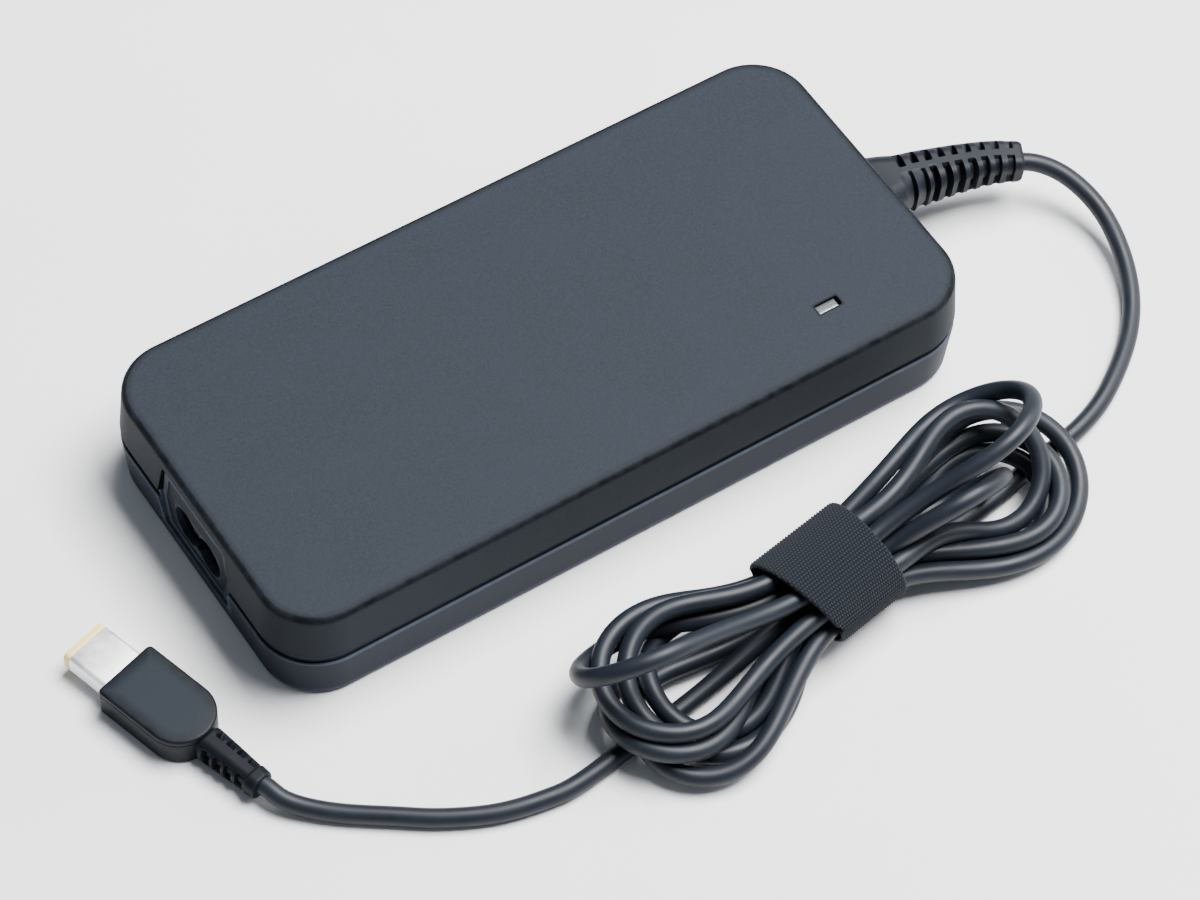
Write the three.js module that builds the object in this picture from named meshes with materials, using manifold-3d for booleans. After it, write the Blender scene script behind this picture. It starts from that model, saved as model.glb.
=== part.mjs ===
// Laptop power adapter: a slim two-shell case with a figure-8 mains inlet at one end and a flexible
// output lead at the other. The lead runs in a loose arc to a hank held by a hook-and-loop tie, and on
// to a slim rectangular connector. Millimetres, +Z up. The origin is the middle of the case's underside:
// +X points to the lead, -X to the mains inlet, and the hank lies on the -Y side.
import * as THREE from "three";
import { mergeVertices } from "three/addons/utils/BufferGeometryUtils.js";
import Module from "manifold-3d";

const wasm = await Module();
wasm.setup();

// ---- driving dimensions -------------------------------------------------------------------------

const GAP = 0.3; // clearance between neighbouring pieces
const CASE = { length: 150, width: 71.1, height: 23.7, corner: 12.2, wall: 2, cornerSteps: 6 };
const SPLIT = { lowerTop: 11, grooveTop: 12.9, grooveDepth: 0.65 }; // the groove where the shells meet
const FLOOR_TOP = 2; // upper side of the case's floor
const CEILING = 21.7; // lower side of the case's roof

const SOCKET = {
  z: 11.2, lobeRadius: 4, lobeSpacing: 8.1, waist: 6.6, depth: 14,
  bodyHalf: 10.3, bodyHeight: 12, back: 2.5,
};
const PIN = { radius: 1.2, spacing: 8.6, mouthSetback: 3 };
const BEZEL = { top: 21, shoulder: 12.6, bottom: 4.9, topHalf: 11, shoulderHalf: 12.5, bottomHalf: 11 };

const LIGHT = { x: 47.8, y: -23, length: 4.8, width: 1.9, recess: 0.15 };
const LABEL = { length: 104, width: 52, thickness: 0.15, recess: 0.5 };

const BOARD = { z: 6, thickness: 1.6, endX: 70, halfY: 31.5 };
const BOARD_TOP = BOARD.z + BOARD.thickness;

const CORD = { diameter: 3.6, sides: 8, step: 9 };
const LIE = CORD.diameter / 2 + 0.05; // height of the cord's middle where it lies on the surface

// The output boot's middle line, from inside the case's end wall to where the cord leaves it.
const BOOT_ROUTE = [
  [69.4, 1.6, 11.4], [78, 1.4, 11.4], [84.5, 0.5, 11.3], [90, -0.6, 11.1], [95, -1.8, 10.9],
  [100.6, -3.5, 10.6], [106, -6, 10.3],
];
const BOOT = {
  slots: 9, scales: 2, slotWidth: 1.55, firstSlot: 0.345, lastSlot: 0.93, core: 2.5, spine: 0.95,
};

// The cord's middle line where it isn't coiled: from the boot to the hank, and from the hank to the
// connector. It leaves the boot straight, droops to the surface and then lies on it.
const ARC_ROUTE = [
  [106.3, -6.2, 10.3], [109.2, -8.2, 9.7], [111.8, -11.4, 8.8], [113.7, -15.7, 7.5], [114.6, -21.1, 6],
  [114, -27.2, 4.5], [111.9, -33.9, 3.2], [108.5, -40.2, 2.3], [103.9, -45.7, LIE], [98.4, -50.4, LIE],
  [93, -54.1, LIE], [88.2, -56.8, LIE], [81.6, -59.6, LIE],
];
const LEAD_ROUTE = [
  [-35.6, -74.6, LIE], [-43.9, -74.5, LIE], [-54.4, -72.3, LIE], [-63.6, -67.9, LIE], [-70.9, -62.9, LIE],
  [-78.3, -57.6, LIE], [-83.4, -53.1, 2.2], [-86.2, -49.7, 2.9], [-87.1, -47.2, 3.4],
];

const HANK = { bottom: 0.1, top: 16.6, bevel: 3 };
// The hank's outline seen from above, going round it once: it is two fans of loops with a waist.
const HANK_OUTLINE = [
  [81, -64], [77.5, -56.5], [68, -52], [55, -51], [42, -54.2], [29.5, -56.8], [19.4, -58.4], [9.5, -60.2],
  [-5, -59.5], [-22, -58.5], [-34, -61], [-36, -68], [-33.5, -77], [-27, -85], [-14, -88], [-3, -85.5],
  [6, -79], [12.6, -75.1], [22, -73.4], [31.7, -71.8], [45, -75], [60, -78], [73, -74],
];
// The hook-and-loop strap round the hank's waist: its middle, its turn about Z and its inside.
const TIE = {
  x: 20.6, y: -65.6, z: 9.3, turn: 10, strap: 18.4, half: 10, halfHeight: 7.7, corner: 3.5, thickness: 1.2,
};

const TIP = { x: -97.2, y: -13.6, heading: 106.2 }; // middle of the connector's front edge
const PLUG = { length: 20.6, width: 13.4, height: 6.8, bevel: 0.7 };
const NOSE = { length: 10.4, width: 9.8, height: 4.5, wall: 0.35, inside: 6, corner: 1.1, lip: 1.4 };
const PLUG_BOOT = {
  length: 13, startHalf: 3.1, endHalf: 2.6, slots: 4, slotWidth: 1.5, core: 1.95, spine: 0.9,
};

// ---- materials ----------------------------------------------------------------------------------

const finish = (color, roughness, metalness = 0) =>
  new THREE.MeshStandardMaterial({ color, roughness, metalness });
const MATERIAL = {
  case: finish(0x343a42, 0.62),
  lowerCase: finish(0x3c434c, 0.55),
  blackPlastic: finish(0x0c0e11, 0.6),
  lens: finish(0x9ba3ac, 0.35),
  boot: finish(0x33383f, 0.7),
  cord: finish(0x262b32, 0.5),
  tie: finish(0x22262c, 0.95),
  connector: finish(0x3a4047, 0.6),
  nickel: finish(0xd9dadc, 0.25, 1),
  insulator: finish(0xe6dd9c, 0.5),
  aluminium: finish(0xb4b8bb, 0.4, 1),
  board: finish(0x1d4a2c, 0.6),
  ferrite: finish(0x2b2b2d, 0.7),
  copper: finish(0xb87038, 0.35, 1),
  tape: finish(0xd9b93c, 0.5),
  can: finish(0x20242b, 0.4),
  epoxy: finish(0x141416, 0.5),
  yellowBox: finish(0xd7c23f, 0.5),
  blueDisc: finish(0x2b5fa8, 0.4),
  label: finish(0x1a1c1f, 0.5),
  film: finish(0xcfc7a6, 0.5),
  redWire: finish(0x8c1f1c, 0.5),
  blackWire: finish(0x111214, 0.5),
  whiteWire: finish(0xdad9d4, 0.5),
  ledBody: finish(0xe8e6da, 0.3),
};

const adapter = new THREE.Group();

function add(name, geometry, material, parent = adapter) {
  const mesh = new THREE.Mesh(geometry, material);
  mesh.name = name;
  parent.add(mesh);
  return mesh;
}

// ---- booleans -----------------------------------------------------------------------------------

function toSolid(geometry) {
  const bare = geometry.clone();
  bare.deleteAttribute("normal");
  bare.deleteAttribute("uv");
  const merged = mergeVertices(bare);
  return new wasm.Manifold(new wasm.Mesh({
    numProp: 3,
    vertProperties: new Float32Array(merged.attributes.position.array),
    triVerts: new Uint32Array(merged.index.array),
  }));
}

function toGeometry(solid) {
  const mesh = solid.getMesh();
  const geometry = new THREE.BufferGeometry();
  geometry.setAttribute("position", new THREE.BufferAttribute(new Float32Array(mesh.vertProperties), 3));
  geometry.setIndex(new THREE.BufferAttribute(new Uint32Array(mesh.triVerts), 1));
  return geometry;
}

const cut = (geometry, ...tools) =>
  toGeometry(tools.reduce((solid, tool) => solid.subtract(toSolid(tool)), toSolid(geometry)));
const join = (geometry, ...others) =>
  toGeometry(others.reduce((solid, other) => solid.add(toSolid(other)), toSolid(geometry)));

// ---- shapes -------------------------------------------------------------------------------------

// A closed solid through rings of points. The rings have as many points each, and run counter-clockwise
// seen from the side that the rings move towards.
function ringSolid(rings) {
  const count = rings[0].length;
  const points = rings.flat();
  const middle = (ring) => ring.reduce((sum, p) => sum.add(p), new THREE.Vector3()).divideScalar(count);
  const first = points.push(middle(rings[0])) - 1;
  const last = points.push(middle(rings.at(-1))) - 1;
  const faces = [];
  for (let k = 0; k < count; k++) {
    const next = (k + 1) % count;
    faces.push(first, next, k);
    for (let ring = 0; ring < rings.length - 1; ring++) {
      const low = ring * count;
      const high = low + count;
      faces.push(low + k, low + next, high + next, low + k, high + next, high + k);
    }
    const top = (rings.length - 1) * count;
    faces.push(last, top + k, top + next);
  }
  const geometry = new THREE.BufferGeometry().setFromPoints(points);
  geometry.setIndex(faces);
  return geometry;
}

// The points of a rectangle with round corners, counter-clockwise from its right side.
function roundedRectangle(halfX, halfY, radius, steps) {
  const points = [];
  for (let quarter = 0; quarter < 4; quarter++) {
    const right = quarter === 0 || quarter === 3 ? 1 : -1;
    const back = quarter < 2 ? 1 : -1;
    for (let step = 0; step <= steps; step++) {
      const angle = (quarter + step / steps) * Math.PI / 2;
      points.push(new THREE.Vector2(
        right * (halfX - radius) + radius * Math.cos(angle),
        back * (halfY - radius) + radius * Math.sin(angle),
      ));
    }
  }
  return points;
}

// A ring of the case at a height, moved inwards from its widest outline.
function caseRing(inset, z) {
  return roundedRectangle(
    CASE.length / 2 - inset, CASE.width / 2 - inset, CASE.corner - inset, CASE.cornerSteps,
  ).map((p) => new THREE.Vector3(p.x, p.y, z));
}

const caseSolid = (profile) => ringSolid(profile.map(([inset, z]) => caseRing(inset, z)));

function block(length, width, height, x, y, z) {
  return new THREE.BoxGeometry(length, width, height).translate(x, y, z + height / 2);
}

// An upright cylinder standing at a height.
function can(radius, height, x, y, z, sides = 20) {
  return new THREE.CylinderGeometry(radius, radius, height, sides)
    .rotateX(Math.PI / 2).translate(x, y, z + height / 2);
}

// A cylinder lying along X, from its low end.
function rod(radius, length, x, y, z, sides = 16) {
  return new THREE.CylinderGeometry(radius, radius, length, sides)
    .rotateZ(Math.PI / 2).translate(x + length / 2, y, z);
}

// A flat outline in Y and Z, extruded along +X.
function prismX(outline, x, length) {
  const shape = new THREE.Shape(outline.map(([y, z]) => new THREE.Vector2(y, z)));
  return new THREE.ExtrudeGeometry(shape, { depth: length, bevelEnabled: false })
    .applyMatrix4(new THREE.Matrix4().set(0, 0, 1, x, 1, 0, 0, 0, 0, 1, 0, 0, 0, 0, 0, 1));
}

const curveThrough = (route, closed = false) =>
  new THREE.CatmullRomCurve3(route.map((p) => new THREE.Vector3(...p)), closed, "centripetal");

// A round cord or wire along a route.
function tube(route, diameter, sides, step) {
  const path = curveThrough(route);
  const section = new THREE.Shape();
  for (let side = 0; side < sides; side++) {
    const angle = (side + 0.5) * 2 * Math.PI / sides;
    const corner = new THREE.Vector2(Math.cos(angle), Math.sin(angle)).multiplyScalar(diameter / 2);
    if (side === 0) section.moveTo(corner.x, corner.y);
    else section.lineTo(corner.x, corner.y);
  }
  const steps = Math.max(3, Math.round(path.getLength() / step));
  return new THREE.ExtrudeGeometry(section, { extrudePath: path, steps });
}

// A ring across a route: left is horizontal, up is square to the route.
function crossRing(path, t, halfWidth, halfHeight, corner, steps = 3) {
  const middle = path.getPointAt(t);
  const along = path.getTangentAt(t);
  const left = new THREE.Vector3(0, 0, 1).cross(along).normalize();
  const up = along.clone().cross(left);
  return roundedRectangle(halfWidth, halfHeight, corner, steps)
    .map((p) => middle.clone().addScaledVector(left, p.x).addScaledVector(up, p.y));
}

// A slot across a route on one side of it, open outwards from a distance off the route.
function slotAcross(path, t, side, inner, height, width) {
  const reach = 6;
  const along = path.getTangentAt(t);
  const left = new THREE.Vector3(0, 0, 1).cross(along).normalize();
  const up = along.clone().cross(left);
  const place = new THREE.Matrix4().makeBasis(left, up, along)
    .setPosition(path.getPointAt(t).addScaledVector(left, side * (inner + reach / 2)));
  return new THREE.BoxGeometry(reach, height, width).applyMatrix4(place);
}

// Cuts pairs of full-height slots that leave a narrow spine above and below, then puts the core back.
function slotSleeve(path, body, shares, { spine, slotWidth, core }) {
  const height = 16;
  const slots = shares.flatMap((t) => [
    slotAcross(path, t, -1, spine, height, slotWidth), slotAcross(path, t, 1, spine, height, slotWidth),
  ]);
  const rings = [shares[0] - 0.05, ...shares, 0.97].map((t) => crossRing(path, t, core, core, 0.6 * core));
  return join(cut(body, ...slots), ringSolid(rings));
}

// ---- case ---------------------------------------------------------------------------------------

const bezelOutline = (grow) => [
  [-BEZEL.bottomHalf - grow, BEZEL.bottom - grow], [BEZEL.bottomHalf + grow, BEZEL.bottom - grow],
  [BEZEL.shoulderHalf + grow, BEZEL.shoulder], [BEZEL.topHalf + grow, BEZEL.top + grow],
  [-BEZEL.topHalf - grow, BEZEL.top + grow], [-BEZEL.shoulderHalf - grow, BEZEL.shoulder],
];

function makeCase() {
  const { wall, length } = CASE;
  const lipBottom = SPLIT.lowerTop - 1.6;
  const neckTop = SPLIT.grooveTop - GAP;
  const tongueTop = SPLIT.grooveTop + 2.2;
  const tongueOut = wall + GAP;
  const tongueIn = wall + 1.4;
  const lower = caseSolid([
    [2.1, 0], [1.4, 0.17], [0.95, 0.6], [0.8, 1.3], [0.05, SPLIT.lowerTop - 0.2], [0.2, SPLIT.lowerTop],
    [SPLIT.grooveDepth, SPLIT.lowerTop], [SPLIT.grooveDepth, neckTop], [tongueOut, neckTop],
    [tongueOut, tongueTop], [tongueIn, tongueTop], [tongueIn, lipBottom], [wall + 0.2, lipBottom - 1.2],
    [wall + 0.8, FLOOR_TOP],
  ]);
  const upper = caseSolid([
    [wall + 1.2, CEILING], [wall, SPLIT.grooveTop], [0.15, SPLIT.grooveTop], [0, SPLIT.grooveTop + 0.2],
    [0.85, CASE.height - 1], [1.05, CASE.height - 0.45], [1.4, CASE.height - 0.12], [1.9, CASE.height],
  ]);

  const inletHole = prismX(bezelOutline(GAP), -length / 2 - 1, 7);
  const [, bootY, bootZ] = BOOT_ROUTE[0];
  const bootOutline = roundedRectangle(6.5, 5.1, 2, 2).map((p) => [p.x + bootY, p.y + bootZ]);
  const bootHole = prismX(bootOutline, length / 2 - 5, 7);
  const labelRecess = new THREE.ExtrudeGeometry(
    new THREE.Shape(roundedRectangle(LABEL.length / 2, LABEL.width / 2, 3, 3)),
    { depth: LABEL.recess + 1, bevelEnabled: false },
  ).translate(0, 0, -1);
  const posts = [-64, 64].flatMap((x) => [-25, 25].map((y) => can(2.2, BOARD.z - GAP - 1, x, y, 1, 10)));
  add("lower_shell", cut(join(lower, ...posts), inletHole, bootHole, labelRecess), MATERIAL.lowerCase);

  const lightHole = block(LIGHT.length + GAP, LIGHT.width + GAP, 8, LIGHT.x, LIGHT.y, CASE.height - 6);
  add("upper_shell", cut(upper, inletHole, bootHole, lightHole), MATERIAL.case);

  const label = new THREE.ExtrudeGeometry(
    new THREE.Shape(roundedRectangle(LABEL.length / 2 - GAP, LABEL.width / 2 - GAP, 2.7, 3)),
    { depth: LABEL.thickness, bevelEnabled: false },
  );
  add("rating_label", label.translate(0, 0, LABEL.recess - LABEL.thickness - 0.05), MATERIAL.label);
}

// ---- mains inlet --------------------------------------------------------------------------------

function makeInlet() {
  const face = -CASE.length / 2 + 0.95;
  const { z, lobeRadius, lobeSpacing, waist, depth, bodyHalf, bodyHeight, back } = SOCKET;
  const plate = prismX(bezelOutline(0), face, 1.4);
  const bodyLength = depth + back;
  const middleX = face + 1 + bodyLength / 2;
  const body = block(bodyLength, 2 * bodyHalf, bodyHeight, middleX, 0, z - bodyHeight / 2);
  const lobe = (side) => rod(lobeRadius, depth + 1, face - 1, side * lobeSpacing / 2, z, 24);
  const middle = block(depth + 1, lobeSpacing, waist, face - 1 + (depth + 1) / 2, 0, z - waist / 2);
  const pinHole = (side) => rod(PIN.radius + GAP, 8, face + depth - 2, side * PIN.spacing / 2, z, 12);
  const housing = cut(join(plate, body), lobe(1), lobe(-1), middle, pinHole(1), pinHole(-1));
  add("inlet_socket", housing, MATERIAL.blackPlastic);
  const pinTail = 5;
  for (const [name, side] of [["inlet_pin_line", 1], ["inlet_pin_neutral", -1]]) {
    const length = depth - PIN.mouthSetback + pinTail;
    const pin = rod(PIN.radius, length, face + PIN.mouthSetback, side * PIN.spacing / 2, z, 12);
    add(name, pin, MATERIAL.nickel);
  }
}

// ---- electronics --------------------------------------------------------------------------------

function makeBoard() {
  const { endX, halfY, z, thickness } = BOARD;
  const outline = new THREE.Shape();
  const inletEdge = -56;
  const notchHalf = 12;
  const corner = 6;
  const cornerX = endX - corner;
  const cornerY = halfY - corner;
  const bootNotch = { low: -8, high: 11 };
  [[-endX, -cornerY], [-cornerX, -halfY], [cornerX, -halfY], [endX, -cornerY],
    [endX, bootNotch.low], [cornerX, bootNotch.low], [cornerX, bootNotch.high], [endX, bootNotch.high],
    [endX, cornerY], [cornerX, halfY], [-cornerX, halfY], [-endX, cornerY],
    [-endX, notchHalf], [inletEdge, notchHalf], [inletEdge, -notchHalf], [-endX, -notchHalf],
  ].forEach(([x, y], index) => (index ? outline.lineTo(x, y) : outline.moveTo(x, y)));
  const board = new THREE.ExtrudeGeometry(outline, { depth: thickness, bevelEnabled: false });
  const capacitorWindow = block(36, 17, 4, -12, -20, z - 1);
  add("main_board", cut(board.translate(0, 0, z), capacitorWindow), MATERIAL.board);
}

// A ferrite pot: two plates and two outer legs round a centre leg, open at the front and the back.
function ferriteCore(length, width, height, legRadius, windowRadius, plate) {
  const window = cut(
    join(can(windowRadius, height - 2 * plate, 0, 0, plate, 24),
      block(2 * legRadius + 4, width + 2, height - 2 * plate, 0, 0, plate)),
    can(legRadius, height, 0, 0, 0, 20),
  );
  return cut(block(length, width, height, 0, 0, 0), window);
}

function coilRing(innerRadius, outerRadius, height) {
  const profile = [
    [innerRadius, 0], [outerRadius, 0], [outerRadius, height], [innerRadius, height], [innerRadius, 0],
  ].map(([r, y]) => new THREE.Vector2(r, y));
  return new THREE.LatheGeometry(profile, 24).rotateX(Math.PI / 2);
}

function makeWoundCore(name, x, y, size, tape) {
  const { length, width, height, leg, window, plate } = size;
  const base = BOARD_TOP + GAP;
  const core = ferriteCore(length, width, height, leg, window, plate);
  add(`${name}_core`, core.translate(x, y, base), MATERIAL.ferrite);
  const winding = coilRing(leg + GAP, window - GAP, height - 2 * plate - 2 * GAP);
  add(`${name}_winding`, winding.translate(x, y, base + plate + GAP), tape);
}

// A ring core lying flat, with one wire wound round it.
function makeChoke(name, x, y, ringRadius, coreRadius, turns, wire) {
  const base = BOARD_TOP + GAP + coreRadius + GAP + wire;
  const core = new THREE.TorusGeometry(ringRadius, coreRadius, 10, 24).translate(x, y, base);
  add(`${name}_core`, core, MATERIAL.ferrite);
  const coil = coreRadius + GAP + wire / 2;
  const route = [];
  const perTurn = 8;
  for (let step = 0; step <= turns * perTurn; step++) {
    const round = THREE.MathUtils.degToRad(15 + 330 * step / (turns * perTurn));
    const across = step * 2 * Math.PI / perTurn;
    const reach = ringRadius + coil * Math.cos(across);
    route.push([x + reach * Math.cos(round), y + reach * Math.sin(round), base + coil * Math.sin(across)]);
  }
  add(`${name}_winding`, tube(route, wire, 6, 1.6), MATERIAL.copper);
}

function makeElectronics() {
  const base = BOARD_TOP + GAP;
  makeBoard();
  add("fuse", block(8.5, 4.2, 8, -49, -24, base), MATERIAL.epoxy);
  add("x_capacitor", block(17, 8, 11, -47, 24, base), MATERIAL.yellowBox);
  makeChoke("line_choke", -45, 2, 7.2, 2.2, 14, 1);
  add("bridge_rectifier", block(3.6, 15, 10.5, -36, -22, base), MATERIAL.epoxy);
  const boostSize = { length: 20, width: 16, height: 11.5, leg: 4, window: 7.8, plate: 2.4 };
  makeWoundCore("boost_inductor", -22, 2, boostSize, MATERIAL.copper);

  add("bulk_capacitor", rod(8, 33, -28.5, -20, 12, 28), MATERIAL.can);
  const finned = block(44, 1.6, 11, -14, 26, base);
  const fins = [-30, -22, -14, -6, 2].map((x) => block(1.2, 4.4, 11, x, 28.6, base));
  add("primary_heat_sink", join(finned, ...fins), MATERIAL.aluminium);
  add("boost_transistor", block(10, 4.4, 10, -26, 22.6, base), MATERIAL.epoxy);
  add("main_transistor", block(10, 4.4, 10, -6, 22.6, base), MATERIAL.epoxy);
  add("controller_board", block(22, 1, 9.5, -16, 15.2, base), MATERIAL.board);

  const disc = can(3.6, 2.8, 0, 0, 0, 16).rotateX(Math.PI / 2);
  add("y_capacitor", disc.translate(12, -26, base + 3.7), MATERIAL.blueDisc);
  const transformerSize = { length: 29, width: 24, height: 11.8, leg: 5.5, window: 12, plate: 2.4 };
  makeWoundCore("transformer", 14, 4, transformerSize, MATERIAL.tape);

  add("secondary_heat_sink", block(26, 1.6, 11, 46, 26.5, base), MATERIAL.aluminium);
  add("output_rectifier_a", block(8, 4.2, 9.5, 38, 23.2, base), MATERIAL.epoxy);
  add("output_rectifier_b", block(8, 4.2, 9.5, 52, 23.2, base), MATERIAL.epoxy);
  [[36, -8], [36, 3], [47, 12]].forEach(([x, y], index) => {
    add(`output_capacitor_${index + 1}`, can(4, 11.5, x, y, base), MATERIAL.can);
  });
  makeChoke("output_choke", 50, -6, 5.2, 1.7, 10, 0.9);

  const spreaderTop = CEILING - GAP;
  const spreader = block(118, 52, 0.5, 2, 0, spreaderTop - 0.5);
  const lightGap = block(LIGHT.length + 4, LIGHT.width + 4, 3, LIGHT.x, LIGHT.y, spreaderTop - 1.5);
  add("upper_heat_spreader", cut(spreader, lightGap), MATERIAL.aluminium);
  add("lower_heat_spreader", block(112, 52, 0.5, 0, 0, FLOOR_TOP + GAP), MATERIAL.aluminium);
  add("insulating_sheet", block(116, 56, 0.25, 0, 0, FLOOR_TOP + 1.1), MATERIAL.film);

  add("status_led", block(3, 1.6, 1.4, LIGHT.x, LIGHT.y, base), MATERIAL.ledBody);
  const pipeBottom = base + 1.4 + GAP;
  const pipeHeight = CASE.height - LIGHT.recess - pipeBottom;
  const pipe = block(LIGHT.length, LIGHT.width, pipeHeight, LIGHT.x, LIGHT.y, pipeBottom);
  const flange = block(LIGHT.length + 2, LIGHT.width + 2, 0.8, LIGHT.x, LIGHT.y, CEILING - GAP - 0.8);
  add("led_lens", join(pipe, flange), MATERIAL.lens);
}

// ---- output boot and the lead's wires -----------------------------------------------------------

function makeBoot() {
  const path = curveThrough(BOOT_ROUTE);
  const sections = [
    [0, 7.6, 6.2, 2.6], [0.046, 7.6, 6.2, 2.6], [0.047, 6, 4.6, 1.7], [0.154, 6, 4.6, 1.7],
    [0.155, 6.9, 5.7, 2.8], [0.22, 6.4, 5.5, 3.2], [0.34, 5.2, 5, 3.4], [0.46, 4.75, 4.7, 3],
    [0.6, 4.3, 4.3, 2.6], [0.8, 3.7, 3.7, 2.1], [0.985, 3.2, 3.2, 1.7], [1, 3, 3, 1.5],
  ];
  const body = ringSolid(sections.map(([t, halfWidth, halfHeight, corner]) =>
    crossRing(path, t, halfWidth, halfHeight, corner)));
  const shares = [];
  for (let k = 0; k < BOOT.slots; k++) {
    shares.push(BOOT.firstSlot + (BOOT.lastSlot - BOOT.firstSlot) * k / (BOOT.slots - 1));
  }
  // The slots nearest the case are shallow scales.
  const scales = shares.slice(0, BOOT.scales).flatMap((t) => {
    const half = 4.9 - 1.9 * t;
    return [-1, 1].map((side) => slotAcross(path, t, side, half - 0.5, 1.5 * half, BOOT.slotWidth));
  });
  const slotted = slotSleeve(path, cut(body, ...scales), shares.slice(BOOT.scales), BOOT);
  add("output_boot", slotted, MATERIAL.boot);

  const [, bootY, bootZ] = BOOT_ROUTE[0];
  const wires = [
    ["output_wire_positive", -2.4, MATERIAL.redWire],
    ["output_wire_negative", 2.4, MATERIAL.blackWire],
    ["output_wire_sense", 0, MATERIAL.whiteWire],
  ];
  for (const [name, offset, material] of wires) {
    const y = bootY + offset;
    const spread = y + offset;
    const route = [
      [69, y, bootZ], [67, y, 11.6], [64.5, spread, 12], [61, spread, 11], [60, spread, BOARD_TOP + GAP],
    ];
    add(name, tube(route, 1.5, 6, 2), material);
  }
}

// ---- cord, hank and tie -------------------------------------------------------------------------

// Places a piece made along +X at the tie's middle, turned as the tie lies.
const tieTurn = THREE.MathUtils.degToRad(TIE.turn);
const atTie = (geometry) => geometry.rotateZ(tieTurn).translate(TIE.x, TIE.y, 0);

function makeHank() {
  const closed = true;
  const outline = curveThrough(HANK_OUTLINE.map(([x, y]) => [x, y, 0]), closed)
    .getPoints(64).slice(0, -1).map((p) => new THREE.Vector2(p.x, p.y)).reverse();
  const { bevel, bottom, top } = HANK;
  const hank = new THREE.ExtrudeGeometry(new THREE.Shape(outline), {
    depth: top - bottom - 2 * bevel,
    bevelEnabled: true,
    bevelThickness: bevel,
    bevelSize: bevel,
    bevelOffset: -bevel,
    bevelSegments: 2,
  }).translate(0, 0, bottom + bevel);
  const tieFloor = TIE.z - TIE.halfHeight;
  const underTie = atTie(block(TIE.strap + 1, 3 * TIE.half, tieFloor + GAP + 1, 0, 0, -1));
  add("cord_hank", cut(hank, underTie), MATERIAL.cord);

  const band = (grow, overlength) => {
    const section = roundedRectangle(TIE.half + grow, TIE.halfHeight + grow, TIE.corner + grow, 4);
    const length = TIE.strap + 2 * overlength;
    return prismX(section.map((p) => [p.x, p.y + TIE.z]), -length / 2, length);
  };
  add("cord_tie", atTie(cut(band(TIE.thickness, 0), band(0, 1))), MATERIAL.tie);
}

function makeCord() {
  add("cord_arc", tube(ARC_ROUTE, CORD.diameter, CORD.sides, CORD.step), MATERIAL.cord);
  add("cord_lead", tube(LEAD_ROUTE, CORD.diameter, CORD.sides, CORD.step), MATERIAL.cord);
}

// ---- connector ----------------------------------------------------------------------------------

// The connector is made with its nose along +Y and its front edge's middle at the origin.
function makeConnector() {
  const connector = new THREE.Group();
  connector.position.set(TIP.x, TIP.y, 0);
  connector.rotation.z = THREE.MathUtils.degToRad(TIP.heading - 90);
  adapter.add(connector);

  const half = PLUG.width / 2;
  const radius = half - PLUG.bevel;
  const inner = new THREE.Shape();
  inner.moveTo(-radius, -PLUG.bevel);
  inner.lineTo(-radius, -PLUG.length + half);
  inner.absarc(0, -PLUG.length + half, radius, Math.PI, 2 * Math.PI, false);
  inner.lineTo(radius, -PLUG.bevel);
  const housing = new THREE.ExtrudeGeometry(inner, {
    depth: PLUG.height - 2 * PLUG.bevel,
    bevelEnabled: true,
    bevelThickness: PLUG.bevel,
    bevelSize: PLUG.bevel,
    bevelSegments: 3,
    curveSegments: 24,
  }).translate(0, 0, PLUG.bevel);
  const middle = PLUG.height / 2;
  const barrel = (grow, from, to) => {
    const shape = new THREE.Shape(roundedRectangle(
      NOSE.width / 2 + grow, NOSE.height / 2 + grow, Math.max(0.2, NOSE.corner + grow), 4,
    ));
    return new THREE.ExtrudeGeometry(shape, { depth: to - from, bevelEnabled: false })
      .rotateX(-Math.PI / 2).translate(0, from, middle);
  };
  const pocket = barrel(GAP, -NOSE.inside - GAP, 2);
  add("connector_housing", cut(housing, pocket), MATERIAL.connector, connector);
  const metalEnd = NOSE.length - NOSE.lip;
  const shell = cut(barrel(0, -NOSE.inside, metalEnd), barrel(-NOSE.wall, -NOSE.inside - 1, metalEnd + 1));
  add("connector_shell", shell, MATERIAL.nickel, connector);
  const lining = -NOSE.wall - GAP;
  const well = new THREE.BoxGeometry(6.6, NOSE.length, 1.9).translate(0, NOSE.length / 2 + 1, middle);
  const insulator = cut(barrel(lining, -NOSE.inside, NOSE.length), well);
  add("connector_insulator", insulator, MATERIAL.insulator, connector);
  const blade = new THREE.BoxGeometry(2.2, NOSE.length - 4, 0.7);
  add("connector_centre_pin", blade.translate(0, NOSE.length / 2 + 0.3, middle), MATERIAL.nickel, connector);

  const start = -PLUG.length - GAP;
  const { length } = PLUG_BOOT;
  const path = curveThrough([
    [0, start, middle], [0, start - length / 2, middle - 0.1], [0, start - length, middle - 0.2],
  ]);
  const sections = [0, 0.5, 0.96, 1].map((t) => {
    const halfWidth = THREE.MathUtils.lerp(PLUG_BOOT.startHalf, PLUG_BOOT.endHalf, t) - (t === 1 ? 0.3 : 0);
    return crossRing(path, t, halfWidth, halfWidth, halfWidth * 0.55);
  });
  const firstSlot = 0.16;
  const slotPitch = 0.196;
  const shares = Array.from({ length: PLUG_BOOT.slots }, (_, k) => firstSlot + slotPitch * k);
  const sleeve = slotSleeve(path, ringSolid(sections), shares, PLUG_BOOT);
  add("connector_boot", sleeve, MATERIAL.boot, connector);
}

makeCase();
makeInlet();
makeElectronics();
makeBoot();
makeCord();
makeHank();
makeConnector();

export default adapter;
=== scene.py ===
"""A slim laptop power adapter with its lead tied in a hank: the looks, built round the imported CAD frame.

The frame is in metres, with +Z up. Sizes here are in millimetres, as in the part's own source, and are turned
into metres where a mesh or curve is made. +X points to the lead's end of the case and -X to the mains inlet.
"""
import math

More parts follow.
